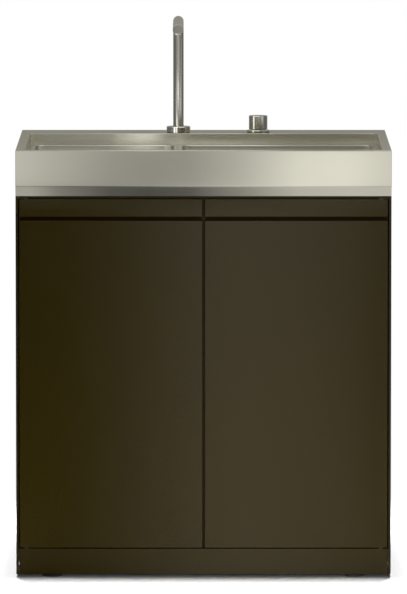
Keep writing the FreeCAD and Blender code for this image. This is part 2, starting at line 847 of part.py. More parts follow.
# Nuts over the joints of the pipes. The outlet's nut sits on the trap's stub and leaves the pipe bare.
def make_slip_nuts(stub_end):
    length = dim.slip_nut_length
    half = length / 2
    pipe = dim.pipe_radius
    spots = [(drain_x[side], drain_y, tail_low - half, "z", pipe) for side in sides]
    for sign in sides.values():
        spots.append((trap_x + sign * dim.tee_arm - half, drain_y, branch_height, "x", pipe))
    spots.append((trap_x, drain_y, tee_low - half, "z", pipe))
    spots.append((trap_x, stub_end - length, outlet_height, "y", dim.trap_stub_radius))
    nuts = []
    for number, (x, y, z, along, radius) in enumerate(spots, start=1):
        bore = radius + dim.slip_fit
        shape = (bore, dim.slip_nut_corners, grip_flat_count, length)
        nuts.append(nut(f"slip_nut_{number}", *shape, x, y, z, along))
    group("waste_slip_nuts", nuts)


slope_formula = f"{dim.spout_slope.formula} * 1 deg"
slope_angle = math.radians(dim.spout_slope.value)
slope_sin = Size(f"sin({slope_formula})", math.sin(slope_angle))
slope_cos = Size(f"cos({slope_formula})", math.cos(slope_angle))
slope_tan = Size(f"tan({slope_formula})", math.tan(slope_angle))
base_low = top + dim.tap_gasket
tube_low = base_low + dim.base_floor + dim.clearance
tube_inner = dim.spout_tube_radius - dim.spout_wall
bend_start = top + dim.spout_height - dim.spout_tube_radius - dim.spout_bend
arm_y = tap_y - dim.spout_bend - dim.spout_bend * slope_sin
arm_z = bend_start + dim.spout_bend * slope_cos
tip_y = tap_y - dim.spout_reach
tip_z = arm_z - (arm_y - tip_y) * slope_tan


# The spout's upright, its bend and its arm, which falls slightly towards the tip.
def draw_spout_path(sketch):
    corners = [(tap_y, tube_low), (tap_y, bend_start), (arm_y, arm_z), (tip_y, tip_z)]
    spots = [Vector(x.value, y.value, 0) for x, y in corners]
    upright = sketch.addGeometry(Part.LineSegment(spots[0], spots[1]), False)
    arm = sketch.addGeometry(Part.LineSegment(spots[2], spots[3]), False)
    hold_point(sketch, upright, 1, *corners[0])
    hold_point(sketch, upright, 2, *corners[1])
    add_tangent_arc(sketch, upright, arm, Vector(0, 1, 0), dim.spout_bend)
    hold_point(sketch, arm, 2, *corners[3])


def make_spout():
    piece = Piece("spout")
    section = piece.sketch("XY", tube_low)
    for radius in (dim.spout_tube_radius, tube_inner):
        draw_circle(section, dim.divider_centre, tap_y, radius)
    route = piece.sketch("YZ", dim.divider_centre)
    draw_spout_path(route)
    piece.pipe(section, route)

    outlet_y = tip_y + dim.aerator_setback
    outlet_z = tip_z + dim.aerator_setback * slope_tan
    seat = outlet_z - dim.spout_tube_radius
    hole_low = seat - dim.aerator_drop
    hole_radius = dim.aerator_radius + dim.slip_fit
    hole = rod("spout_outlet_hole", hole_radius, outlet_z - hole_low, dim.divider_centre, outlet_y, hole_low)
    finish(cut("spout_with_outlet", piece.body, hole), "spout_tube")

    nozzle = ring("nozzle", dim.aerator_bore, dim.aerator_radius, 0, dim.aerator_drop + dim.aerator_entry,
                  dim.divider_centre, outlet_y, hole_low)
    finish(nozzle, "aerator")

    spigot = tube_inner - dim.slip_fit
    cap = turned("end_plug", [
        (0, -dim.end_cap_spigot), (spigot, -dim.end_cap_spigot), (spigot, 0), (dim.spout_tube_radius, 0),
        (dim.spout_tube_radius, dim.end_cap), (0, dim.end_cap)])
    cap.Placement = Placement(Vector(), Rotation(Vector(1, 0, 0), 90 + dim.spout_slope.value))
    bind(cap, "Placement.Rotation.Angle", 90 + dim.spout_slope)
    finish(place(cap, dim.divider_centre, tip_y, tip_z), "spout_end_cap")


def make_spout_base():
    height = dim.spout_base_height - dim.tap_gasket
    bore = dim.spout_tube_radius + dim.slip_fit
    spot = (dim.divider_centre, tap_y, base_low)
    finish(turned("spout_socket", [
        (dim.shank_bore, 0), (dim.spout_base_radius, 0), (dim.spout_base_radius, height - dim.tap_chamfer),
        (dim.spout_base_radius - dim.tap_chamfer, height), (bore, height), (bore, dim.base_floor),
        (dim.shank_bore, dim.base_floor)], *spot), "spout_base")
    entry = dim.spigot_radius + dim.slip_fit
    entry_top = dim.link_entry + dim.clearance - dim.shank_length
    finish(turned("spout_stem", [
        (dim.shank_bore, 0), (dim.shank_radius, 0), (dim.shank_radius, -dim.shank_length),
        (entry, -dim.shank_length), (entry, entry_top), (dim.shank_bore, entry_top)], *spot), "spout_shank")


# The gasket above the deck and the hexagon nut below it, for the spout and for the mixer.
def make_tap_clamps():
    gaskets = []
    nuts = []
    inner = dim.shank_radius + dim.slip_fit
    height = dim.lock_nut_height
    for name, x in tap_spots.items():
        outer = dim.mixer_flange_radius - dim.tap_chamfer
        gaskets.append(ring(f"{name}_gasket", inner, outer, 0, dim.tap_gasket, x, tap_y, top))
        nut_spot = (x, tap_y, deck_under - height)
        nuts.append(nut(f"{name}_nut", inner, dim.lock_nut_corners, hexagon_flat_count, height, *nut_spot))
    group("tap_gaskets", gaskets)
    group("tap_lock_nuts", nuts)


flange_top = dim.mixer_flange_height - dim.tap_gasket
spindle_low = flange_top - dim.spindle_engaged
inlet_angle = math.pi / 3


def make_mixer():
    spot = (dim.mixer_x, tap_y, base_low)
    bore = dim.shank_radius + dim.slip_fit
    outer = dim.mixer_flange_radius
    finish(turned("mixer_collar", [
        (bore, 0), (outer, 0), (outer, flange_top - dim.tap_chamfer), (outer - dim.tap_chamfer, flange_top),
        (bore, flange_top)], *spot), "mixer_flange")

    spindle_bore = dim.spindle_radius + dim.slip_fit
    bore_low = spindle_low - dim.clearance
    valve = Piece("mixer_valve")
    section = valve.sketch("XZ")
    draw_polygon(section, [
        (0, -dim.valve_length), (dim.shank_radius, -dim.valve_length), (dim.shank_radius, flange_top),
        (spindle_bore, flange_top), (spindle_bore, bore_low), (0, bore_low)])
    valve.revolve(section)
    inlets = valve.sketch("XY", -dim.valve_length)
    across = dim.spigot_circle * math.cos(inlet_angle)
    for sign in sides.values():
        draw_circle(inlets, across, sign * dim.spigot_circle * math.sin(inlet_angle), dim.spigot_radius)
    valve.pad(inlets, dim.spigot_length, backwards=True)
    finish(place(valve.body, *spot), "mixer_valve_body")

    spindle_top = spindle_low + dim.spindle_length
    stem_low = base_low + spindle_low
    stem = rod("mixer_stem", dim.spindle_radius, dim.spindle_length, dim.mixer_x, tap_y, stem_low)
    finish(stem, "mixer_spindle")

    knob_low = flange_top + dim.knob_gap
    knob_top = knob_low + dim.knob_height
    hub_top = spindle_top + dim.clearance
    chamfer = dim.tap_chamfer
    knob = dim.knob_radius
    cap = turned("mixer_cap", [
        (0, hub_top), (spindle_bore, hub_top), (spindle_bore, knob_low), (knob - chamfer, knob_low),
        (knob, knob_low + chamfer), (knob, knob_top - chamfer), (knob - chamfer, knob_top),
        (0, knob_top)], *spot)
    screw_y = tap_y + dim.spindle_radius + dim.clearance
    screw_z = base_low + (knob_low + spindle_top) / 2
    hole_length = dim.knob_radius - dim.spindle_radius
    spot = (dim.mixer_x, screw_y, screw_z)
    hole = rod("grub_hole", dim.grub_screw_radius + dim.slip_fit, hole_length, *spot, "y")
    finish(cut("mixer_cap_tapped", cap, hole), "mixer_knob")
    grub = rod("grub_screw", dim.grub_screw_radius, hole_length / 2, *spot, "y")
    finish(grub, "knob_grub_screw")


# The rigid pipe between the spout's shank and the mixer's outlet: down, across and up.
def make_link_pipe():
    piece = Piece("link_pipe")
    section = piece.sketch("XY")
    draw_tube_section(section, dim.spigot_radius, dim.spigot_radius - dim.link_wall)
    route = piece.sketch("XZ")
    run = dim.mixer_x - dim.spigot_circle - dim.divider_centre
    start_z = base_low - dim.shank_length + dim.link_entry
    mixer_low = base_low - dim.valve_length
    level = mixer_low - dim.link_drop - start_z
    draw_bent_path(route, [(0, 0), (0, level), (run, level), (run, mixer_low - start_z)], dim.link_bend)
    piece.pipe(section, route)
    finish(place(piece.body, dim.divider_centre, tap_y, start_z), "connecting_pipe")


# A folded side: a narrow front edge with a return, a rear fold, and flanges under the top and the bottom.
def make_side_panel(side):
    s = sides[side]
    t = dim.sheet
    edge_in = half_width - dim.side_edge
    fold_end = carcass_front + dim.edge_channel
    fold_x = half_width - dim.rear_fold
    piece = Piece(f"{side}_side")
    section = piece.sketch("XY", dim.ground_gap)
    corners = [
        (half_width, carcass_front), (edge_in, carcass_front), (edge_in, fold_end), (edge_in + t, fold_end),
        (edge_in + t, carcass_front + t), (inner_x, carcass_front + t), (inner_x, back_face),
        (fold_x, back_face), (fold_x, carcass_rear), (half_width, carcass_rear)]
    draw_polygon(section, [(s * x, y) for x, y in corners])
    piece.pad(section, skirt_low - dim.ground_gap)

    in_wall = half_width - t / 2
    for low in (skirt_low - t, bottom_under - t):
        flange = piece.sketch("XY", low)
        y = (rail_front + dim.rail_depth, rear - 2 * dim.rear_fold)
        draw_rectangle(flange, span(s * in_wall, s * fold_x), y)
        piece.pad(flange, t)

    top_holes = piece.sketch("XY", skirt_low)
    for y in top_screw_rows:
        draw_circle(top_holes, s * screw_x, y, dim.top_screw_radius + dim.slip_fit)
    piece.pocket(top_holes, t)

    rear_holes = piece.sketch("XZ", -carcass_rear)
    for z in panel_screw_rows:
        draw_circle(rear_holes, s * panel_screw_x, z, dim.panel_screw_radius + dim.slip_fit)
    piece.pocket(rear_holes, t, forwards=True)
    finish(piece.body, f"{side}_side_panel")


def make_back_panel():
    piece = Piece("back")
    outline = piece.sketch("XZ", -back_face)
    draw_rectangle(outline, (-inner_x, inner_x), (dim.bottom_height, skirt_low))
    low, high = trap_x - dim.service_width / 2, trap_x + dim.service_width / 2
    draw_rounded_rectangle(outline, (low, high), (dim.service_low, dim.service_high), dim.service_corner)
    for s in sides.values():
        for z in panel_screw_rows:
            draw_circle(outline, s * panel_screw_x, z, dim.panel_screw_radius + dim.slip_fit)
    piece.pad(outline, dim.sheet)
    finish(piece.body, "back_panel")


def make_bottom_panel():
    piece = Piece("bottom")
    t = dim.sheet
    notch_x = half_width - dim.side_edge
    notch_y = carcass_front + dim.edge_channel
    lip_back = carcass_front + t
    outline = piece.sketch("XY", bottom_under)
    draw_polygon(outline, [
        (-notch_x, lip_back), (notch_x, lip_back), (notch_x, notch_y), (inner_x, notch_y),
        (inner_x, back_face), (-inner_x, back_face), (-inner_x, notch_y), (-notch_x, notch_y)])
    for s in sides.values():
        draw_circle(outline, s * pivot_x, pivot_y, dim.pin_radius + dim.slip_fit)
    piece.pad(outline, t)
    lip = piece.sketch("XY", bottom_under)
    draw_rectangle(lip, (-notch_x, notch_x), (lip_back, lip_back + t))
    piece.pad(lip, dim.bottom_lip, backwards=True)
    finish(piece.body, "bottom_panel")


# A folded channel across the carcass under the top, open towards the middle.
def make_rail(name, face, inward):
    piece = Piece(name)
    t = dim.sheet
    section = piece.sketch("YZ", -inner_x)
    corners = [
        (0, rail_low), (0, skirt_low), (dim.rail_depth, skirt_low), (dim.rail_depth, skirt_low - t),
        (t, skirt_low - t), (t, rail_low + t), (dim.rail_lip, rail_low + t), (dim.rail_lip, rail_low)]
    draw_polygon(section, [(face + inward * y, z) for y, z in corners])
    piece.pad(section, 2 * inner_x)
    finish(piece.body, f"{name}_rail")


def make_centre_post():
    piece = Piece("post")
    t = dim.sheet
    half = dim.post_width / 2
    post_back = post_front + dim.post_depth
    section = piece.sketch("XY", dim.bottom_height)
    draw_polygon(section, [
        (-half, post_front), (half, post_front), (half, post_back), (half - t, post_back),
        (half - t, post_front + t), (t - half, post_front + t), (t - half, post_back), (-half, post_back)])
    piece.pad(section, rail_low - dim.bottom_height)
    finish(piece.body, "centre_post")


def make_plinth():
    piece = Piece("plinth_sheet")
    t = dim.sheet
    low = dim.ground_gap
    return_back = carcass_front + dim.plinth_return
    section = piece.sketch("YZ", -door_outer)
    draw_polygon(section, [
        (carcass_front, low), (carcass_front, dim.bottom_height), (carcass_front + t, dim.bottom_height),
        (carcass_front + t, low + t), (return_back, low + t), (return_back, low)])
    piece.pad(section, 2 * door_outer)
    finish(piece.body, "plinth")

    clips = []
    half = dim.socket_radius + dim.clip_wall
    z = (dim.clip_low, dim.clip_low + dim.clip_height)
    for side, s in sides.items():
        x = (s * foot_x - half, s * foot_x + half)
        block = box(f"{side}_clip_block", x, (carcass_front + t, dim.clip_wrap - foot_y), z)
        radius = dim.socket_radius + dim.slip_fit
        socket = rod(f"{side}_clip_seat", radius, dim.clip_height, s * foot_x, -foot_y, dim.clip_low)
        clips.append(cut(f"{side}_clip", block, socket))
    group("plinth_clips", clips)


# A screw foot under each corner: pad, collar and stud in one, turning in a socket below the bottom panel.
def make_feet():
    collar_top = dim.foot_pad_height + dim.foot_collar_height
    socket_low = collar_top + dim.clearance
    stud_top = collar_top + dim.stud_length
    bore = dim.stud_radius + dim.slip_fit
    flange_low = bottom_under - dim.socket_flange
    chamfer = dim.foot_chamfer
    pad = dim.foot_pad_radius
    foot_profile = [
        (0, 0), (pad - chamfer, 0), (pad, chamfer), (pad, dim.foot_pad_height - chamfer),
        (pad - chamfer, dim.foot_pad_height), (dim.foot_collar_radius, dim.foot_pad_height),
        (dim.foot_collar_radius, collar_top), (dim.stud_radius, collar_top), (dim.stud_radius, stud_top),
        (0, stud_top)]
    socket_profile = [
        (bore, socket_low), (dim.socket_radius, socket_low), (dim.socket_radius, flange_low),
        (pad, flange_low), (pad, bottom_under), (bore, bottom_under)]
    sockets = []
    for end, y in (("front", -foot_y), ("rear", foot_y)):
        for side, s in sides.items():
            name = f"{end}_{side}"
            finish(turned(f"{name}_screw", foot_profile, s * foot_x, y), f"{name}_foot")
            sockets.append(turned(f"{name}_socket", socket_profile, s * foot_x, y))
    group("foot_sockets", sockets)


# A slab door with a milled grip: a level slot, cut up behind the strip above it, closed at both ends.
def make_door(side):
    s = sides[side]
    low, high = span(s * door_inner, s * door_outer)
    slot_high = door_top - dim.strip_height
    slot_low = slot_high - dim.slot_height
    crease = door_top - dim.strip_crease
    strip_back = carcass_front + dim.strip_thick
    grip_face = door_back - dim.grip_back
    piece = Piece(f"{side}_slab")
    outline = piece.sketch("YZ", low)
    draw_polygon(outline, [
        (door_back, door_low), (carcass_front, door_low), (carcass_front, crease),
        (carcass_front + dim.strip_tilt, door_top), (door_back, door_top)])
    piece.pad(outline, high - low)
    uprights = [lies_at(x=x, y=carcass_front) for x in (low, high)]
    piece.round_edges(dim.door_edge_radius, lambda edge: any(wanted(edge) for wanted in uprights))

    slot = piece.sketch("YZ", low)
    outside = carcass_front - dim.slot_height
    draw_polygon(slot, [
        (outside, slot_low), (grip_face, slot_low), (grip_face, slot_high + dim.grip_rise),
        (strip_back, slot_high + dim.grip_rise), (strip_back, slot_high), (outside, slot_high)])
    piece.pocket(slot, high - low, forwards=True)
    lips = [lies_at(y=carcass_front, z=z) for z in (slot_low, slot_high)]
    piece.round_edges(dim.slot_edge_radius, lambda edge: any(wanted(edge) for wanted in lips))

    for level, upwards in ((door_top, False), (door_low, True)):
        seat = piece.sketch("XY", level)
        draw_circle(seat, s * pivot_x, pivot_y, dim.bush_radius + dim.press_gap)
        piece.pocket(seat, dim.bush_hole, forwards=upwards)
    finish(piece.body, f"{side}_door")

    bore = dim.pin_radius + dim.slip_fit
    flange = dim.bush_flange
    profile = [
        (bore, -dim.bush_length), (dim.bush_radius, -dim.bush_length), (dim.bush_radius, 0),
        (dim.bush_flange_radius, 0), (dim.bush_flange_radius, flange), (bore, flange)]
    spot = (s * pivot_x, pivot_y)
    upper = turned(f"{side}_upper_bush", profile, *spot, door_top)
    lower_flange = dim.door_floor_gap - dim.washer_thick - dim.clearance
    lower = turned(f"{side}_lower_bush", [
        (bore, -lower_flange), (dim.bush_flange_radius, -lower_flange), (dim.bush_flange_radius, 0),
        (dim.bush_radius, 0), (dim.bush_radius, dim.bush_length), (bore, dim.bush_length)], *spot, door_low)
    group(f"{side}_door_bushes", [upper, lower])


# Fixed pivots: a bracket plate over each door with a pin down into it, and a pin and washer below.
def make_pivots():
    brackets = []
    pins = []
    washers = []
    pin_reach = dim.bush_length - dim.clearance
    washer_bore = dim.pin_radius + dim.slip_fit
    hole_radius = dim.pin_radius + dim.press_gap
    plate_low = door_top + dim.bracket_gap
    plate_top = plate_low + dim.bracket_thick
    plate_front = carcass_front + dim.sheet
    edge_in = half_width - dim.side_edge
    for side, s in sides.items():
        spot = (s * pivot_x, pivot_y)
        x = span(s * edge_in, s * (edge_in - dim.bracket_width))
        plate = box(f"{side}_bracket_plate", x, (plate_front, rail_front), (plate_low, plate_top))
        hole = rod(f"{side}_bracket_hole", hole_radius, dim.bracket_thick, *spot, plate_low)
        brackets.append(cut(f"{side}_bracket", plate, hole))
        upper_end = door_top - pin_reach
        lower_end = door_low + pin_reach
        pins.append(rod(f"{side}_upper_pin", dim.pin_radius, plate_top - upper_end, *spot, upper_end))
        pins.append(rod(f"{side}_lower_pin", dim.pin_radius, lower_end - bottom_under, *spot, bottom_under))
        seat = (*spot, dim.bottom_height)
        washers.append(ring(f"{side}_washer", washer_bore, dim.washer_radius, 0, dim.washer_thick, *seat))
    group("upper_pivot_brackets", brackets)
    group("pivot_pins", pins)
    group("pivot_washers", washers)


# Magnetic catches under the front rail, steel strikes on the doors, and bumpers on the centre post.
def make_closers():
    catches = []
    bumpers = []
    strike_face = door_back + dim.strike_thick
    catch_low = rail_low - dim.catch_height
    for side, s in sides.items():
        x = span(s * dim.catch_from_centre, s * (dim.catch_from_centre + dim.catch_width))
        catch_face = strike_face + dim.clearance
        z = (catch_low, rail_low)
        catches.append(box(f"{side}_catch", x, (catch_face, rail_front + dim.rail_lip), z))
        strike = box(f"{side}_strike", x, (door_back, strike_face), z)
        finish(strike, f"{side}_strike_plate")
        bumper_x = s * (door_inner + dim.post_width / 2) / 2
        face = door_back + dim.clearance
        for level, z in (("low", dim.bumper_low), ("high", dim.bumper_high)):
            name = f"{side}_{level}_bumper"
            bumpers.append(rod(name, dim.bumper_radius, post_front - face, bumper_x, face, z, "y"))
    group("magnetic_catches", catches)
    group("door_bumpers", bumpers)


# A screw from its shank and its head, along one axis.
def screw(name, shank_size, head_size, shank_spot, head_spot, along):
    shank = rod(f"{name}_shank", *shank_size, *shank_spot, along)
    head = rod(f"{name}_head", *head_size, *head_spot, along)
    return fuse(name, shank, head)


def make_screws():
    panel_screws = []
    top_screws = []
    panel_shank = (dim.panel_screw_radius, dim.panel_screw_length)
    panel_head = (dim.panel_screw_head, dim.panel_screw_head_height)
    panel_tip = carcass_rear - dim.panel_screw_length
    top_shank = (dim.top_screw_radius, dim.top_screw_length)
    top_head = (dim.top_screw_head, dim.top_screw_head_height)
    under = skirt_low - dim.sheet
    head_low = under - dim.top_screw_head_height
    for side, s in sides.items():
        x = s * panel_screw_x
        for row, z in enumerate(panel_screw_rows, start=1):
            name = f"{side}_panel_screw_{row}"
            ends = ((x, panel_tip, z), (x, carcass_rear, z))
            panel_screws.append(screw(name, panel_shank, panel_head, *ends, "y"))
        x = s * screw_x
        for row, y in enumerate(top_screw_rows, start=1):
            name = f"{side}_top_screw_{row}"
            ends = ((x, y, under), (x, y, head_low))
            top_screws.append(screw(name, top_shank, top_head, *ends, "z"))
    group("back_panel_screws", panel_screws)
    group("top_fixing_screws", top_screws)


make_sink_top()
for side in sides:
    make_bowl(side)
    make_basket(side)
    make_waste_pipe(side)
    make_side_panel(side)
    make_door(side)
make_sound_pads()
make_wastes()
make_tee()
make_slip_nuts(make_trap())
make_spout()
make_spout_base()
make_tap_clamps()
make_mixer()
make_link_pipe()
make_back_panel()
make_bottom_panel()
make_rail("front", rail_front, 1)
make_rail("rear", back_face - dim.sheet, -1)
make_centre_post()
make_plinth()
make_feet()
make_pivots()
make_closers()
make_screws()
doc.recompute()

for thing in doc.Objects:
    if "Invalid" in thing.State or "Error" in thing.State:
        raise RuntimeError(f"{thing.Label} failed: {thing.State}")
for thing in sub_parts:
    if thing.Shape.isNull() or not thing.Shape.isValid():
        raise RuntimeError(f"{thing.Label} has no valid shape")

os.makedirs("parts", exist_ok=True)
for thing in sub_parts:
    thing.Shape.exportStep(f"parts/{thing.Label}.step")
    print(thing.Label, len(thing.Shape.Solids), round(thing.Shape.Volume))
print(len(sub_parts), "nodes")
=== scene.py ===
import json
import math

import bmesh
import bpy
from mathutils import Matrix, Vector


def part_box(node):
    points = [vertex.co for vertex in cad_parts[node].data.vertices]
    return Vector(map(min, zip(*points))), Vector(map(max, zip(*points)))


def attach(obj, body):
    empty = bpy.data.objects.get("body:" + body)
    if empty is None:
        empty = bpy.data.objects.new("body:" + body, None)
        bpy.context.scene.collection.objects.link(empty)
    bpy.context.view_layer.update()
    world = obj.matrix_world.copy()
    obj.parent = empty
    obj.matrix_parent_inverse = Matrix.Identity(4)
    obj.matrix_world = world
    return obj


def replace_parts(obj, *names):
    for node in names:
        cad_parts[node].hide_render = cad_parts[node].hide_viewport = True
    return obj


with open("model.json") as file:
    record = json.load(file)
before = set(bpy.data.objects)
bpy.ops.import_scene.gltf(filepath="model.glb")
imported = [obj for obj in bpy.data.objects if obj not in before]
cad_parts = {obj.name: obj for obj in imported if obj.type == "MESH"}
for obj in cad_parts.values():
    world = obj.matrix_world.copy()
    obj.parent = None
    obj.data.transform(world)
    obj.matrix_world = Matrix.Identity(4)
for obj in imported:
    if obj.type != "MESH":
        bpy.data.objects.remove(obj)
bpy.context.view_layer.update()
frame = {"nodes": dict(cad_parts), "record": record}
nodes = frame["nodes"]
scene = bpy.context.scene
scene.view_settings.view_transform = "Standard"
print("frame loaded:", len(nodes), "nodes")


# A shader socket that takes part in Python sums
class Wire:
    def __init__(self, finish, socket):
        self.finish = finish
        self.socket = socket

    def sum(self, operation, first, second):
        return self.finish.node("ShaderNodeMath", {"operation": operation}, {0: first, 1: second})

    def __add__(self, other):
        return self.sum("ADD", self, other)

    def __radd__(self, other):
        return self.sum("ADD", other, self)

    def __sub__(self, other):
        return self.sum("SUBTRACT", self, other)

    def __rsub__(self, other):
        return self.sum("SUBTRACT", other, self)

    def __mul__(self, other):
        return self.sum("MULTIPLY", self, other)

    def __rmul__(self, other):
        return self.sum("MULTIPLY", other, self)


# A node tree with one method for every node in it
class Finish:
    def __init__(self, owner):
        owner.use_nodes = True
        self.owner = owner
        self.tree = owner.node_tree
        self.tree.nodes.clear()

    def node(self, kind, settings=None, sockets=None, out=0):
        made = self.tree.nodes.new(kind)
        for name, value in (settings or {}).items():
            if name == "stops":
                self.setStops(made.color_ramp, value)
            else:
                setattr(made, name, value)
        for name, value in (sockets or {}).items():
            if isinstance(value, Wire):
                self.tree.links.new(value.socket, made.inputs[name])
            else:
                made.inputs[name].default_value = value
        return Wire(self, made.outputs[out]) if made.outputs else made

    def setStops(self, ramp, stops):
        while len(ramp.elements) < len(stops):
            ramp.elements.new(1.0)
        for element, (place, level) in zip(ramp.elements, stops):
            element.position = place
            element.color = colour(level, level, level)

    def objectPlace(self):
        return self.node("ShaderNodeTexCoord", out="Object")

    def noise(self, place, stretch, detail):
        spread = self.node("ShaderNodeMapping", {}, {"Vector": place, "Scale": stretch})
        return self.node("ShaderNodeTexNoise", {}, {"Vector": spread, "Scale": 1.0, "Detail": detail})

    def ramp(self, value, *stops):
        return self.node("ShaderNodeValToRGB", {"stops": stops}, {"Fac": value})

    def rescale(self, value, low, high, newLow=0.0, newHigh=1.0):
        return self.node("ShaderNodeMapRange", {}, {
            "Value": value, "From Min": low, "From Max": high, "To Min": newLow, "To Max": newHigh})

    # A Mix node's colours go in at sockets 6 and 7 and come out at 2
    def blend(self, share, first, second):
        return self.node("ShaderNodeMix", {"data_type": "RGBA"}, {0: share, 6: first, 7: second}, out=2)

    def bump(self, height, distance):
        return self.node("ShaderNodeBump", {}, {"Height": height, "Distance": distance, "Strength": 1.0})

    def surface(self, **sockets):
        plain = {name.replace("_", " "): value for name, value in sockets.items()}
        shader = self.node("ShaderNodeBsdfPrincipled", {}, plain)
        self.node("ShaderNodeOutputMaterial", {}, {"Surface": shader})
        return self.owner


def newFinish(name):
    return Finish(bpy.data.materials.new(name))


def colour(red, green, blue):
    return (red, green, blue, 1.0)


noiseSpan = (0.3, 0.7)                     # most of a noise node's values lie between these

brushLook = {
    "grainDetail": 3.0,
    "cloud": (3.0, 3.0, 3.0),              # slow drift of the tone
    "cloudDetail": 2.0,
    "grainShare": 0.7,                     # of the tone, the rest is cloud
}


# Bare metal, brushed, turned or plated: its fine grain changes the tone, the gloss and the relief
def makeMetal(name, look):
    finish = newFinish(name)
    place = finish.objectPlace()
    grain = finish.noise(place, look["grain"], brushLook["grainDetail"])
    cloud = finish.noise(place, brushLook["cloud"], brushLook["cloudDetail"])
    share = brushLook["grainShare"]
    tone = finish.rescale(share * grain + (1 - share) * cloud, *noiseSpan)
    return finish.surface(
        Base_Color=finish.blend(tone, colour(*look["dark"]), colour(*look["light"])),
        Metallic=1.0,
        Roughness=finish.rescale(grain, *noiseSpan, *look["roughness"]),
        Normal=finish.bump(grain, look["relief"]))


sheetSteelLook = {
    "grain": (6.0, 900.0, 900.0),          # scratches run left to right
    "dark": (0.615, 0.595, 0.5),
    "light": (0.64, 0.62, 0.52),
    "roughness": (0.22, 0.27),
    "relief": 0.000008,
}
# Smoother than the sheet, and lighter in tone as a painted highlight
weldHighlightLook = {
    "grain": (160.0, 160.0, 160.0),
    "dark": (0.62, 0.6, 0.52),
    "light": (0.68, 0.66, 0.58),
    "roughness": (0.1, 0.18),
    "relief": 0.00002,
}
tapSteelLook = {
    "grain": (700.0, 700.0, 12.0),         # turned and drawn pieces, polished upright
    "dark": (0.6, 0.585, 0.51),
    "light": (0.65, 0.635, 0.56),
    "roughness": (0.12, 0.16),
    "relief": 0.000003,
}
# Smoother than the tap steel, and lighter in tone as a painted highlight
highlightPolishedLook = {
    "grain": (700.0, 700.0, 12.0),
    "dark": (0.7, 0.685, 0.61),
    "light": (0.76, 0.745, 0.67),
    "roughness": (0.05, 0.09),
    "relief": 0.000002,
}
# The tap steel darkened: painted shade on the spout's end face
shadedSpoutEndLook = {
    "grain": (900.0, 30.0, 900.0),         # faced across the end of the spout
    "dark": (0.36, 0.355, 0.31),
    "light": (0.46, 0.455, 0.41),
    "roughness": (0.1, 0.15),
    "relief": 0.000008,
}
wasteSteelLook = {
    "grain": (300.0, 300.0, 300.0),
    "dark": (0.56, 0.55, 0.51),
    "light": (0.66, 0.65, 0.61),
    "roughness": (0.15, 0.24),
    "relief": 0.00001,
}
platedLook = {
    "grain": (120.0, 120.0, 120.0),
    "dark": (0.47, 0.48, 0.5),
    "light": (0.66, 0.66, 0.64),
    "roughness": (0.28, 0.45),
    "relief": 0.00003,
}
brassLook = {
    "grain": (260.0, 260.0, 500.0),
    "dark": (0.56, 0.39, 0.15),
    "light": (0.74, 0.55, 0.25),
    "roughness": (0.22, 0.38),
    "relief": 0.00002,
}
chromeLook = {
    "grain": (40.0, 40.0, 40.0),
    "dark": (0.68, 0.69, 0.7),
    "light": (0.78, 0.79, 0.8),
    "roughness": (0.06, 0.12),
    "relief": 0.000004,
}

sprayLook = {
    "cloud": (5.0, 5.0, 1.5),              # slow drift of the tone, drawn out upright
    "cloudDetail": 3.0,
    "peelDetail": 1.0,
    "cloudShare": 0.6,                     # of the gloss, the rest is orange peel
}


# Satin lacquer or paint: a sprayed skin with a faint orange peel and a slightly uneven tone,
# with painted shade and a matt finish in narrow hollows
def makeLacquer(name, look):
    finish = newFinish(name)
    place = finish.objectPlace()
    cloud = finish.noise(place, sprayLook["cloud"], sprayLook["cloudDetail"])
    peel = finish.noise(place, (look["peel"],) * 3, sprayLook["peelDetail"])
    tone = finish.rescale(cloud, *noiseSpan)
    share = sprayLook["cloudShare"]
    gloss = finish.rescale(share * cloud + (1 - share) * peel, *noiseSpan, *look["roughness"])
    skin = finish.blend(tone, colour(*look["dark"]), colour(*look["light"]))
    # Painted shade: where ambient occlusion finds a narrow hollow, the colour darkens and the finish goes
    # matt
    openness = finish.node("ShaderNodeAmbientOcclusion", {"only_local": True},
                           {"Distance": look["hollow"]}, out="AO")
    paintedShade = finish.rescale(openness, *look["paintedShade"])
    return finish.surface(
        Base_Color=finish.blend(paintedShade, skin, colour(*look["paintedShadeColour"])),
        Roughness=gloss + paintedShade * (look["hollowRoughness"] - gloss),
        Specular_IOR_Level=look["shine"],
        Normal=finish.bump(peel, look["relief"]))


doorLook = {
    "dark": (0.0295, 0.02, 0.0007),
    "light": (0.033, 0.0225, 0.0011),
    "peel": 420.0,
    "roughness": (0.26, 0.32),
    "hollow": 0.02,                        # hollows this narrow get painted shade and a matt finish
    "paintedShade": (0.85, 0.45),                # openness at which the painted shade starts, and where it is full
    "paintedShadeColour": (0.0125, 0.006, 0.0003),
    "hollowRoughness": 0.85,
    "shine": 0.25,
    "relief": 0.00002,
}
paintLook = {
    "dark": (0.0285, 0.0195, 0.0008),
    "light": (0.0325, 0.022, 0.0012),
    "peel": 260.0,
    "roughness": (0.34, 0.42),
    # hollows this narrow get painted shade and a matt finish
    "hollow": 0.01,
    "paintedShade": (0.7, 0.3),
    "paintedShadeColour": (0.018, 0.012, 0.0006),
    "hollowRoughness": 0.6,
    "shine": 0.25,
    "relief": 0.00004,
}
shellLook = {
    "dark": (0.024, 0.018, 0.0056),
    "light": (0.028, 0.021, 0.0072),
    "peel": 320.0,
    "roughness": (0.4, 0.5),               # the sides and back are sprayed once and stay duller
    # hollows this narrow get painted shade and a matt finish
    "hollow": 0.01,
    "paintedShade": (0.7, 0.3),
    "paintedShadeColour": (0.018, 0.0135, 0.005),
    "hollowRoughness": 0.7,
    "shine": 0.25,
    "relief": 0.00005,
}

mouldLook = {
    "grainDetail": 2.0,
    "cloud": (14.0, 14.0, 14.0),           # slow drift of the tone
    "cloudDetail": 2.0,
}


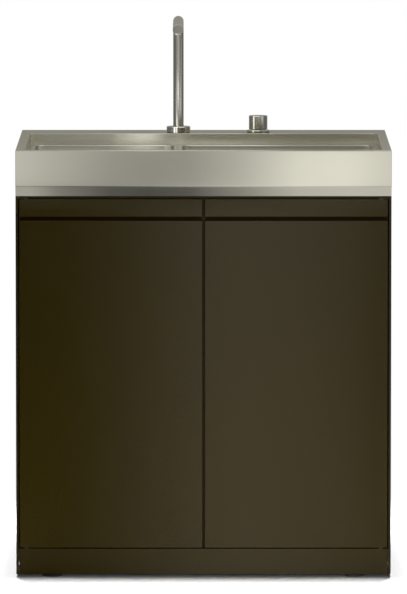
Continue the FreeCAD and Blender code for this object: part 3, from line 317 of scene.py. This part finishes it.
# Moulded plastic and rubber: a spark-eroded grain with a tone that drifts
def makeMoulded(name, look):
    finish = newFinish(name)
    place = finish.objectPlace()
    grain = finish.noise(place, (look["grain"],) * 3, mouldLook["grainDetail"])
    cloud = finish.noise(place, mouldLook["cloud"], mouldLook["cloudDetail"])
    tone = finish.rescale(cloud, *noiseSpan)
    return finish.surface(
        Base_Color=finish.blend(tone, colour(*look["dark"]), colour(*look["light"])),
        Roughness=finish.rescale(grain, *noiseSpan, *look["roughness"]),
        Normal=finish.bump(grain, look["relief"]))


wasteLook = {
    "dark": (0.7, 0.7, 0.67),
    "light": (0.8, 0.8, 0.78),
    "grain": 500.0,
    "roughness": (0.3, 0.42),
    "relief": 0.00003,
}
nylonLook = {
    "dark": (0.035, 0.035, 0.036),
    "light": (0.06, 0.06, 0.06),
    "grain": 700.0,
    "roughness": (0.4, 0.55),
    "relief": 0.00004,
}
footLook = {
    "dark": (0.012, 0.012, 0.012),
    "light": (0.022, 0.022, 0.021),
    "grain": 600.0,
    "roughness": (0.45, 0.6),
    "relief": 0.00005,
}
rubberLook = {
    "dark": (0.014, 0.014, 0.015),
    "light": (0.026, 0.026, 0.026),
    "grain": 450.0,
    "roughness": (0.65, 0.8),
    "relief": 0.00006,
}

finishLooks = {
    "sinkSteel": (makeMetal, sheetSteelLook),
    "polishedWeld": (makeMetal, weldHighlightLook),
    "tapSteel": (makeMetal, tapSteelLook),
    "polishedSteel": (makeMetal, highlightPolishedLook),
    "spoutEnd": (makeMetal, shadedSpoutEndLook),
    "wasteSteel": (makeMetal, wasteSteelLook),
    "platedSteel": (makeMetal, platedLook),
    "tapBrass": (makeMetal, brassLook),
    "chromePipe": (makeMetal, chromeLook),
    "doorLacquer": (makeLacquer, doorLook),
    "carcassPaint": (makeLacquer, paintLook),
    "shellPaint": (makeLacquer, shellLook),
    "wastePlastic": (makeMoulded, wasteLook),
    "nylon": (makeMoulded, nylonLook),
    "footPlastic": (makeMoulded, footLook),
    "rubber": (makeMoulded, rubberLook),
}
finishes = {name: make(name, look) for name, (make, look) in finishLooks.items()}
slotFinishes = {
    "sink_steel": "sinkSteel",
    "tap_steel": "tapSteel",
    "plated_steel": "platedSteel",
    "tap_brass": "tapBrass",
    "chrome_pipe": "chromePipe",
    "door_lacquer": "doorLacquer",
    "carcass_paint": "carcassPaint",
    "waste_plastic": "wastePlastic",
    "nylon": "nylon",
    "foot_plastic": "footPlastic",
    "rubber": "rubber",
}
turnedSteel = ("waste_body", "strainer_basket", "strainer_knob")   # turned, not brushed sheet
specialFinishes = {
    # The spout's base, the mixer's flange and the aerator take the lighter steel with its painted
    # highlight
    "spout_base": "polishedSteel",
    "mixer_flange": "polishedSteel",
    "aerator": "polishedSteel",
    "back_panel": "shellPaint",
    "left_side_panel": "shellPaint",
    "right_side_panel": "shellPaint",
}


def paintNodes():
    for subpart in frame["record"]["subparts"]:
        name = subpart["node"]
        finish = slotFinishes[subpart["material_slot"]]
        if name.endswith(turnedSteel):
            finish = "wasteSteel"
        finish = specialFinishes.get(name, finish)
        mesh = nodes[name].data
        mesh.materials.clear()
        mesh.materials.append(finishes[finish])


paintNodes()
print("nodes painted")

photoCamera = {
    "place": (0.0, -15.848, 2.0995),
    "pitch": 5.5,                          # degrees below level
    "lens": 444.8,
    "sensor": 36.0,
    "farClip": 200.0,
}


def makeCamera():
    data = bpy.data.cameras.new("photoCamera")
    data.lens = photoCamera["lens"]
    data.sensor_width = photoCamera["sensor"]
    data.clip_end = photoCamera["farClip"]
    camera = bpy.data.objects.new("photoCamera", data)
    camera.location = photoCamera["place"]
    camera.rotation_euler = (math.radians(90.0 - photoCamera["pitch"]), 0.0, 0.0)
    scene.collection.objects.link(camera)
    scene.camera = camera


makeCamera()


def newObject(name, shape):
    mesh = bpy.data.meshes.new(name)
    shape.to_mesh(mesh)
    shape.free()
    made = bpy.data.objects.new(name, mesh)
    scene.collection.objects.link(made)
    return made


# A stage object that only the named kinds of ray see
def stageFor(made, kinds):
    for kind in ("camera", "diffuse", "glossy", "transmission", "volume_scatter", "shadow"):
        setattr(made, f"visible_{kind}", kind in kinds)


def makeGlow(name, tone):
    finish = newFinish(name)
    light = finish.node("ShaderNodeEmission", {}, {"Color": tone})
    finish.node("ShaderNodeOutputMaterial", {}, {"Surface": light})
    return finish.owner


roomLook = {
    "backdrop": 1.0,                       # white behind the object
    "glow": 0.04,                          # what the room adds to matt surfaces
    "surround": (0.312, 0.308, 0.272),     # what polished surfaces see all round
    "surroundRadius": 12.0,
    "surroundFineness": 3,                 # how finely its sphere is divided
}


# A white backdrop for the camera, a grey surround for polished surfaces and a faint glow for matt ones
def makeRoom():
    world = bpy.data.worlds.new("room")
    scene.world = world
    finish = Finish(world)
    seen = finish.node("ShaderNodeLightPath", out="Is Camera Ray")
    strength = roomLook["glow"] + (roomLook["backdrop"] - roomLook["glow"]) * seen
    white = colour(1.0, 1.0, 1.0)
    background = finish.node("ShaderNodeBackground", {}, {"Color": white, "Strength": strength})
    finish.node("ShaderNodeOutputWorld", {}, {"Surface": background})
    world.cycles_visibility.glossy = False
    shape = bmesh.new()
    bmesh.ops.create_icosphere(shape, subdivisions=roomLook["surroundFineness"],
                               radius=roomLook["surroundRadius"])
    surround = newObject("surround", shape)
    surround.data.materials.append(makeGlow("surround", colour(*roomLook["surround"])))
    stageFor(surround, ("glossy",))


makeRoom()

floorLook = {
    "reach": 1.2,
    "colour": colour(0.93, 0.93, 0.93),
    "nearEdge": 0.8,                       # metres from the middle, where the floor starts to fade
    "farEdge": 1.15,
}


# The floor takes the shadow close to the object and fades into the backdrop further out
def makeFloor():
    shape = bmesh.new()
    bmesh.ops.create_grid(shape, x_segments=1, y_segments=1, size=floorLook["reach"])
    floor = newObject("floor", shape)
    finish = newFinish("floor")
    place = finish.objectPlace()
    distance = finish.node("ShaderNodeVectorMath", {"operation": "LENGTH"}, {0: place}, out="Value")
    away = finish.rescale(distance, floorLook["nearEdge"], floorLook["farEdge"])
    below = finish.node("ShaderNodeNewGeometry", out="Backfacing")   # seen through from underneath
    matt = finish.node("ShaderNodeBsdfDiffuse", {}, {"Color": floorLook["colour"]})
    clear = finish.node("ShaderNodeBsdfTransparent")
    mixed = finish.node("ShaderNodeMixShader", {}, {0: away + below, 1: matt, 2: clear})
    finish.node("ShaderNodeOutputMaterial", {}, {"Surface": mixed})
    floor.data.materials.append(finish.owner)
    stageFor(floor, ("camera", "diffuse", "transmission", "shadow"))


makeFloor()

lamps = {
    "overhead": {"place": (0.0, -0.1, 4.0), "aim": (0.0, -0.1, 0.0), "size": (0.7, 0.42), "power": 215.0},
    "front": {"place": (0.0, -6.0, 0.9), "aim": (0.0, 0.0, 0.6), "size": (3.0, 1.0), "power": 112.0},
    "rear": {"place": (0.0, 6.0, 0.9), "aim": (0.0, 0.0, 0.6), "size": (3.0, 1.0), "power": 60.0},
    "left": {"place": (-6.0, 0.0, 0.9), "aim": (0.0, 0.0, 0.6), "size": (3.0, 1.0), "power": 180.0},
    "right": {"place": (6.0, 0.0, 0.9), "aim": (0.0, 0.0, 0.6), "size": (3.0, 1.0), "power": 180.0},
    "highLeft": {"place": (-1.0, 3.0, 6.0), "aim": (-0.4, 0.0, 0.0), "size": (1.0, 0.6), "power": 420.0},
    "highRight": {"place": (1.0, 3.0, 6.0), "aim": (0.4, 0.0, 0.0), "size": (1.0, 0.6), "power": 420.0},
}


def makeLamps():
    for name, lamp in lamps.items():
        data = bpy.data.lights.new(name, "AREA")
        data.shape = "RECTANGLE"
        data.size, data.size_y = lamp["size"]
        data.energy = lamp["power"]
        made = bpy.data.objects.new(name, data)
        made.location = lamp["place"]
        aim = Vector(lamp["aim"]) - Vector(lamp["place"])
        made.rotation_euler = aim.to_track_quat("-Z", "Y").to_euler()
        made.visible_glossy = False        # reflections come from the panels
        scene.collection.objects.link(made)


makeLamps()

uprightTilt = 90.0                         # degrees, for panels that name no tilt

# Panels that only polished surfaces see, unless they name other rays, with their tone by metres along them
panels = {
    "frontPanel": {
        "place": (0.0, -0.42, 0.3), "turn": 0.0, "size": (2.4, 1.25),
        "apron": ((-0.4, 0.8), (-0.305, 0.63), (-0.2, 0.46), (-0.115, 0.41), (-0.03, 0.44), (0.08, 0.67),
                  (0.205, 1.1), (0.31, 1.17), (0.4, 0.96)),
        "doors": ((-0.305, 0.0), (-0.2, 0.26), (-0.115, 0.62), (-0.03, 1.0), (0.08, 1.26), (0.205, 1.12),
                  (0.31, 0.86), (0.375, 0.52)),
        "split": (0.803, 0.823),           # heights between the doors' tones and the apron's
    },
    "bandPanel": {
        "place": (0.0, -0.3085, 0.812), "turn": 0.0, "tilt": 0.0, "size": (2.4, 0.033), "oneSided": True,
        "tones": ((-0.37, 0.57), (-0.305, 0.3), (-0.2, 0.13), (-0.115, 0.1), (-0.03, 0.13), (0.08, 0.35),
                  (0.205, 0.7), (0.31, 0.77), (0.375, 0.75)),
    },
    "upperPanel": {
        "place": (0.0, -0.42, 0.962), "turn": 0.0, "size": (1.2, 0.044),
        "tones": ((-0.4, 1.0), (-0.3, 1.1), (-0.17, 1.2), (-0.114, 2.6), (-0.06, 1.0), (0.08, 1.3),
                  (0.16, 0.07), (0.34, 0.07), (0.4, 0.9)),
    },
    "tapCard": {
        "place": (-0.2, -0.03, 0.917), "turn": 90.0, "size": (0.24, 0.04), "oneSided": True,
        "tones": ((-0.11, 0.5), (0.0, 0.9), (0.04, 2.3), (0.08, 2.1), (0.118, 0.2)),
    },
    "glintPanel": {
        "place": (-0.22, 0.0, 0.905), "turn": 180.0, "size": (0.28, 0.05), "oneSided": True,
        "tones": ((-0.135, 0.4), (-0.105, 1.2), (-0.075, 1.2), (-0.03, 0.45), (0.135, 0.35)),
    },
    "leftCard": {
        "place": (-0.215, 0.05, 0.845), "turn": 180.0, "size": (0.28, 0.07), "oneSided": True,
        "tones": ((-0.1, 0.4), (0.1, 0.5)),
    },
    "rightCard": {
        "place": (0.16, 0.05, 0.845), "turn": 180.0, "size": (0.39, 0.07), "oneSided": True,
        "tones": ((-0.1, 0.36), (0.1, 0.5)),
    },
    "ceilingPanel": {
        "place": (0.0, 0.02, 1.3), "turn": 0.0, "tilt": 0.0, "size": (1.2, 0.56),
        "tones": ((-0.4, 0.7), (-0.25, 0.8), (-0.12, 2.0), (0.02, 1.3), (0.12, 1.7), (0.2, 0.6),
                  (0.33, 0.6), (0.4, 1.6)),
    },
    "underCard": {                         # the shade under the cabinet
        "place": (0.0, 0.15, 0.0003), "turn": 0.0, "tilt": 0.0, "size": (0.79, 0.86),
        "tones": ((0.0, 0.02), (0.1, 0.02)),
    },
    "leftFlag": {                          # keeps the side lamps from shining under the side panels
        "place": (-0.3992, 0.0, 0.0032), "turn": 90.0, "size": (0.59, 0.0064), "rays": ("shadow",),
        "tones": ((0.0, 0.0), (0.1, 0.0)),
    },
    "rightFlag": {
        "place": (0.3992, 0.0, 0.0032), "turn": 90.0, "size": (0.59, 0.0064), "rays": ("shadow",),
        "tones": ((0.0, 0.0), (0.1, 0.0)),
    },
    "leftPanel": {
        "place": (-2.2, 1.0, 1.0), "turn": 90.0, "size": (4.0, 2.6),
        "tones": ((0.0, 0.18), (0.1, 0.18)),
    },
    "rightPanel": {
        "place": (2.2, -0.5, 1.0), "turn": 90.0, "size": (5.0, 2.6),
        "tones": ((-1.15, 0.1), (-1.0, 0.45), (0.0, 0.45), (0.15, 0.17)),
    },
    "tapPanel": {
        "place": (-0.756, -2.384, 1.4), "turn": -20.0, "size": (5.0, 2.4),
        "tones": ((-2.45, 0.22), (-0.71, 0.37), (0.74, 0.52), (1.64, 0.52), (2.4, 0.4)),
    },
}


# A ramp whose stops are given in metres along the panel
def panelTone(finish, along, tones, width):
    stops = [(0.5 + place / width, level) for place, level in tones]
    return finish.ramp(along, *stops)


def makePanelFinish(name, panel):
    finish = newFinish(name)
    across = finish.node("ShaderNodeUVMap", {"uv_map": "panel"})
    along = finish.node("ShaderNodeSeparateXYZ", {}, {0: across}, out="X")
    width = panel["size"][0]
    if "tones" in panel:
        tone = panelTone(finish, along, panel["tones"], width)
    else:
        height = finish.node("ShaderNodeSeparateXYZ", {}, {0: finish.objectPlace()}, out="Z")
        tone = finish.blend(finish.rescale(height, *panel["split"]),
                            panelTone(finish, along, panel["doors"], width),
                            panelTone(finish, along, panel["apron"], width))
    light = finish.node("ShaderNodeEmission", {}, {"Color": tone})
    if panel.get("oneSided"):
        rear = finish.node("ShaderNodeNewGeometry", out="Backfacing")   # lights one side only
        clear = finish.node("ShaderNodeBsdfTransparent")
        light = finish.node("ShaderNodeMixShader", {}, {0: rear, 1: light, 2: clear})
    finish.node("ShaderNodeOutputMaterial", {}, {"Surface": light})
    return finish.owner


def makePanels():
    for name, panel in panels.items():
        shape = bmesh.new()
        layer = shape.loops.layers.uv.new("panel")
        bmesh.ops.create_grid(shape, x_segments=1, y_segments=1, size=0.5)   # a unit square, sized below
        for face in shape.faces:
            for loop in face.loops:
                loop[layer].uv = (loop.vert.co.x + 0.5, loop.vert.co.y + 0.5)
        width, height = panel["size"]
        place = Matrix.Translation(panel["place"]) @ Matrix.Rotation(math.radians(panel["turn"]), 4, "Z")
        tilt = Matrix.Rotation(math.radians(panel.get("tilt", uprightTilt)), 4, "X")
        shape.transform(place @ tilt @ Matrix.Diagonal((width, height, 1.0, 1.0)))
        made = newObject(name, shape)
        made.data.materials.append(makePanelFinish(name, panel))
        stageFor(made, panel.get("rays", ("glossy",)))


makePanels()
print("stage set")

mergeReach = {                             # metres within which two corners are one
    "piece": 0.000002,
    "cadMesh": 0.00001,
}


def newPiece(name, shape, finish, body):
    bmesh.ops.remove_doubles(shape, verts=shape.verts, dist=mergeReach["piece"])
    bmesh.ops.recalc_face_normals(shape, faces=shape.faces)
    made = newObject(name, shape)
    made.data.materials.append(finishes[finish])
    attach(made, body)
    return made


# The boxes of a node's separate solids
def solidBoxes(name):
    shape = bmesh.new()
    shape.from_mesh(nodes[name].data)
    bmesh.ops.remove_doubles(shape, verts=shape.verts, dist=mergeReach["cadMesh"])
    waiting = set(shape.verts)
    boxes = []
    while waiting:
        found = [waiting.pop()]
        for vert in found:
            for edge in vert.link_edges:
                other = edge.other_vert(vert)
                if other in waiting:
                    waiting.remove(other)
                    found.append(other)
        low = Vector([min(vert.co[axis] for vert in found) for axis in range(3)])
        high = Vector([max(vert.co[axis] for vert in found) for axis in range(3)])
        boxes.append((low, high))
    shape.free()
    return sorted(boxes, key=lambda ends: tuple(ends[0]))


# Adds one shape to another that may hold more
def addShape(shape, extra):
    mesh = bpy.data.meshes.new("extra")
    extra.to_mesh(mesh)
    extra.free()
    shape.from_mesh(mesh)
    bpy.data.meshes.remove(mesh)


beadLook = {
    "wall": 0.0012,                        # sheet of the bowls, outside the mouth
    "sheet": 0.0015,                       # sheet of the top, above the bowls
    "corner": 0.025,
    "width": 0.006,
    "rise": 0.0016,
    "bury": 0.0004,
    "cornerSteps": 12,
    "rimSteps": 4,
}


# The ground and polished weld around a bowl's mouth
def makeMouthBead(side):
    look = beadLook
    low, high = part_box(f"{side}_bowl")
    half = look["width"] / 2
    grow = half - look["wall"]
    size = (high[0] - low[0] + 2 * grow, high[1] - low[1] + 2 * grow)
    middle = ((low[0] + high[0]) / 2, (low[1] + high[1]) / 2, high[2] + look["sheet"] - look["bury"])
    shape = bmesh.new()
    bmesh.ops.create_grid(shape, x_segments=1, y_segments=1, size=0.5)
    shape.transform(Matrix.Translation(middle) @ Matrix.Diagonal((*size, 1.0, 1.0)))
    bmesh.ops.bevel(shape, geom=shape.verts[:], offset=look["corner"] + half, segments=look["cornerSteps"],
                    profile=0.5, affect="VERTICES", material=-1)
    inner = shape.faces[:]
    bmesh.ops.inset_region(shape, faces=inner, thickness=look["width"], use_even_offset=True,
                           use_boundary=True)
    bmesh.ops.delete(shape, geom=inner, context="FACES_ONLY")
    lower = set(shape.verts)
    bmesh.ops.extrude_face_region(shape, geom=shape.faces[:], use_keep_orig=True)
    raised = [vert for vert in shape.verts if vert not in lower]
    bmesh.ops.translate(shape, verts=raised, vec=(0.0, 0.0, look["rise"] + look["bury"]))
    top = set(raised)
    # The inner and outer edges of the ring's top, without the seams between its faces
    rim = [edge for edge in shape.edges if edge.verts[0] in top and edge.verts[1] in top
           and not all(len(face.verts) == 4 and set(face.verts) <= top for face in edge.link_faces)]
    bmesh.ops.bevel(shape, geom=rim, offset=look["rise"], segments=look["rimSteps"], profile=0.5,
                    affect="EDGES", material=-1)
    # The bead takes the lighter weld steel with its painted highlight
    bead = newPiece(f"{side}MouthBead", shape, "polishedWeld", "cabinet")
    bead.data.shade_smooth()


for side in ("left", "right"):
    makeMouthBead(side)

capLook = {
    "slope": 2.7,                          # degrees that the spout's arm falls
    "thick": 0.002,                        # at the middle, past the end of the tube
    "crown": 0.0008,
    "edge": 0.0003,
    "spigot": 0.004,
    "spigotGap": 0.00155,                  # wall and play between the spigot and the tube's outside
    "crownSteps": 8,
    "turnSteps": 48,
    "sharpAngle": 30.0,
}


# The spout's end cap: a plug with a crowned face, turned about the fall of the arm
def makeSpoutEndCap():
    look = capLook
    low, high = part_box("spout_end_cap")
    radius = (high[0] - low[0]) / 2
    inner = radius - look["spigotGap"]
    rim = look["thick"] - look["crown"]
    outline = [(0.0, -look["spigot"]), (inner, -look["spigot"]), (inner, 0.0), (radius, 0.0),
               (radius, rim - look["edge"])]
    for step in range(look["crownSteps"] + 1):
        share = 1 - step / look["crownSteps"]
        outline.append((share * (radius - look["edge"]), rim + look["crown"] * (1 - share ** 2)))
    shape = bmesh.new()
    points = [shape.verts.new((across, 0.0, along)) for across, along in outline]
    for first, second in zip(points, points[1:]):
        shape.edges.new((first, second))
    bmesh.ops.spin(shape, geom=shape.verts[:] + shape.edges[:], axis=(0.0, 0.0, 1.0), cent=(0.0, 0.0, 0.0),
                   angle=2 * math.pi, steps=look["turnSteps"], use_merge=True)
    slope = math.radians(look["slope"])
    tip = ((low[0] + high[0]) / 2,
           low[1] + look["thick"] * math.cos(slope) + radius * math.sin(slope),
           (low[2] + high[2] + look["thick"] * math.sin(slope)) / 2)
    shape.transform(Matrix.Translation(tip) @ Matrix.Rotation(math.pi / 2 + slope, 4, "X"))
    # The cap takes the tap steel darkened as painted shade
    cap = newPiece("spoutEndCap", shape, "spoutEnd", "spout")
    cap.data.shade_smooth()
    cap.data.set_sharp_from_angle(angle=math.radians(look["sharpAngle"]))
    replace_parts(cap, "spout_end_cap")


makeSpoutEndCap()

screenLook = {
    "depth": 0.0012,                       # above the aerator's lower rim
    "bore": 0.005,                         # radius of the screen
    "cells": 9,
    "wire": 0.00035,
}


# The fine wire screen inside the aerator
def makeAeratorScreen():
    look = screenLook
    low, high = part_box("aerator")
    shape = bmesh.new()
    bmesh.ops.create_grid(shape, x_segments=look["cells"], y_segments=look["cells"], size=look["bore"])
    outside = [face for face in shape.faces if face.calc_center_median().length > look["bore"]]
    bmesh.ops.delete(shape, geom=outside, context="FACES")
    bmesh.ops.wireframe(shape, faces=shape.faces[:], thickness=look["wire"], use_replace=True,
                        use_boundary=True, use_even_offset=True)
    middle = ((low[0] + high[0]) / 2, (low[1] + high[1]) / 2, low[2] + look["depth"])
    bmesh.ops.translate(shape, verts=shape.verts[:], vec=middle)
    newPiece("aeratorScreen", shape, "chromePipe", "spout")


makeAeratorScreen()

screwLook = {
    "cells": 16,                           # faces across a head before it is rounded
    "crossHalf": 0.125,                    # shares of the head's radius
    "crossReach": 0.625,
    "crossTaper": 0.8,                     # size of the recess's foot against its mouth
    "crossDepth": 0.6,                     # shares of the head's height
    "edgeDrop": 0.55,
    "domePower": 3,                        # the higher, the flatter the middle of the dome
}
screws = {
    "panelScrews": {"node": "back_panel_screws", "axis": (0.0, 1.0, 0.0), "head": 0.0013, "shank": 0.002},
    "topScrews": {"node": "top_fixing_screws", "axis": (0.0, 0.0, -1.0), "head": 0.0033, "shank": 0.0025},
}


# A domed screw with a cross recess, its head's seat at the origin
def makeScrew(radius, head, shank, length):
    look = screwLook
    shape = bmesh.new()
    bmesh.ops.create_grid(shape, x_segments=look["cells"], y_segments=look["cells"], size=1.0)
    cross = []
    for face in shape.faces:
        near, far = sorted(abs(value) for value in face.calc_center_median().xy)
        if near < look["crossHalf"] and far < look["crossReach"]:
            cross.append(face)
    # The square grid is rounded to a disc and domed
    for vert in shape.verts:
        x, y = vert.co.xy
        vert.co.x = radius * x * math.sqrt(1 - y * y / 2)
        vert.co.y = radius * y * math.sqrt(1 - x * x / 2)
        spread = vert.co.xy.length / radius
        vert.co.z = head * (1 - look["edgeDrop"] * spread ** look["domePower"])
    cut = bmesh.ops.extrude_face_region(shape, geom=cross)
    sunk = [part for part in cut["geom"] if isinstance(part, bmesh.types.BMVert)]
    bmesh.ops.delete(shape, geom=cross, context="FACES")
    bmesh.ops.translate(shape, verts=sunk, vec=(0.0, 0.0, -head * look["crossDepth"]))
    bmesh.ops.scale(shape, verts=sunk, vec=(look["crossTaper"], look["crossTaper"], 1.0))
    steps = ((1.0, 0.0), (shank / radius, 0.0), (shank / radius, -length))   # rim, shank's root and end
    for share, level in steps:
        openEdges = [edge for edge in shape.edges if edge.is_boundary]
        drawn = bmesh.ops.extrude_edge_only(shape, edges=openEdges)
        for part in drawn["geom"]:
            if isinstance(part, bmesh.types.BMVert):
                flat = part.co.xy.normalized() * radius * share
                part.co = (*flat, level)
    bmesh.ops.holes_fill(shape, edges=[edge for edge in shape.edges if edge.is_boundary])
    return shape


def makeScrews(name, look):
    axis = Vector(look["axis"])
    turn = Vector((0.0, 0.0, 1.0)).rotation_difference(axis).to_matrix().to_4x4()
    together = bmesh.new()
    for low, high in solidBoxes(look["node"]):
        size = high - low
        long = abs(size.dot(axis))
        radius = max(abs(value) for value, along in zip(size, axis) if not along) / 2
        outer = (low + high) / 2 + axis * long / 2
        screw = makeScrew(radius, look["head"], look["shank"], long - look["head"])
        screw.transform(Matrix.Translation(outer - axis * look["head"]) @ turn)
        addShape(together, screw)
    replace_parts(newPiece(name, together, "platedSteel", "cabinet"), look["node"])


for name, look in screws.items():
    makeScrews(name, look)

catchLook = {
    "edge": 0.0008,
    "stepBack": 0.0006,                    # from the poles' faces to the housing's
    "poleThick": 0.0018,
    "poleApart": 0.009,
    "poleDeep": 0.004,
    "poleMargin": 0.0015,
    "poleEdge": 0.0002,
    "edgeSteps": 2,
}


# A rounded block between two corners, added to a shape that may hold others
def addBlock(shape, low, high, edge):
    block = bmesh.new()
    bmesh.ops.create_cube(block, size=1.0)
    middle = (Vector(low) + Vector(high)) / 2
    size = Vector(high) - Vector(low)
    block.transform(Matrix.Translation(middle) @ Matrix.Diagonal((*size, 1.0)))
    bmesh.ops.bevel(block, geom=block.edges[:], offset=edge, segments=catchLook["edgeSteps"], profile=0.5,
                    affect="EDGES", material=-1)
    addShape(shape, block)


# Magnetic catches: a moulded housing with two steel poles in its face
def makeCatches():
    look = catchLook
    housings = bmesh.new()
    poles = bmesh.new()
    for low, high in solidBoxes("magnetic_catches"):
        addBlock(housings, (low.x, low.y + look["stepBack"], low.z), high, look["edge"])
        middle = (low.x + high.x) / 2
        for way in (-1, 1):
            x = middle + way * look["poleApart"] / 2
            addBlock(poles, (x - look["poleThick"] / 2, low.y, low.z + look["poleMargin"]),
                     (x + look["poleThick"] / 2, low.y + look["poleDeep"], high.z - look["poleMargin"]),
                     look["poleEdge"])
    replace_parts(newPiece("catchHousings", housings, "nylon", "cabinet"), "magnetic_catches")
    newPiece("catchPoles", poles, "platedSteel", "cabinet")


makeCatches()
print("detail pieces made")
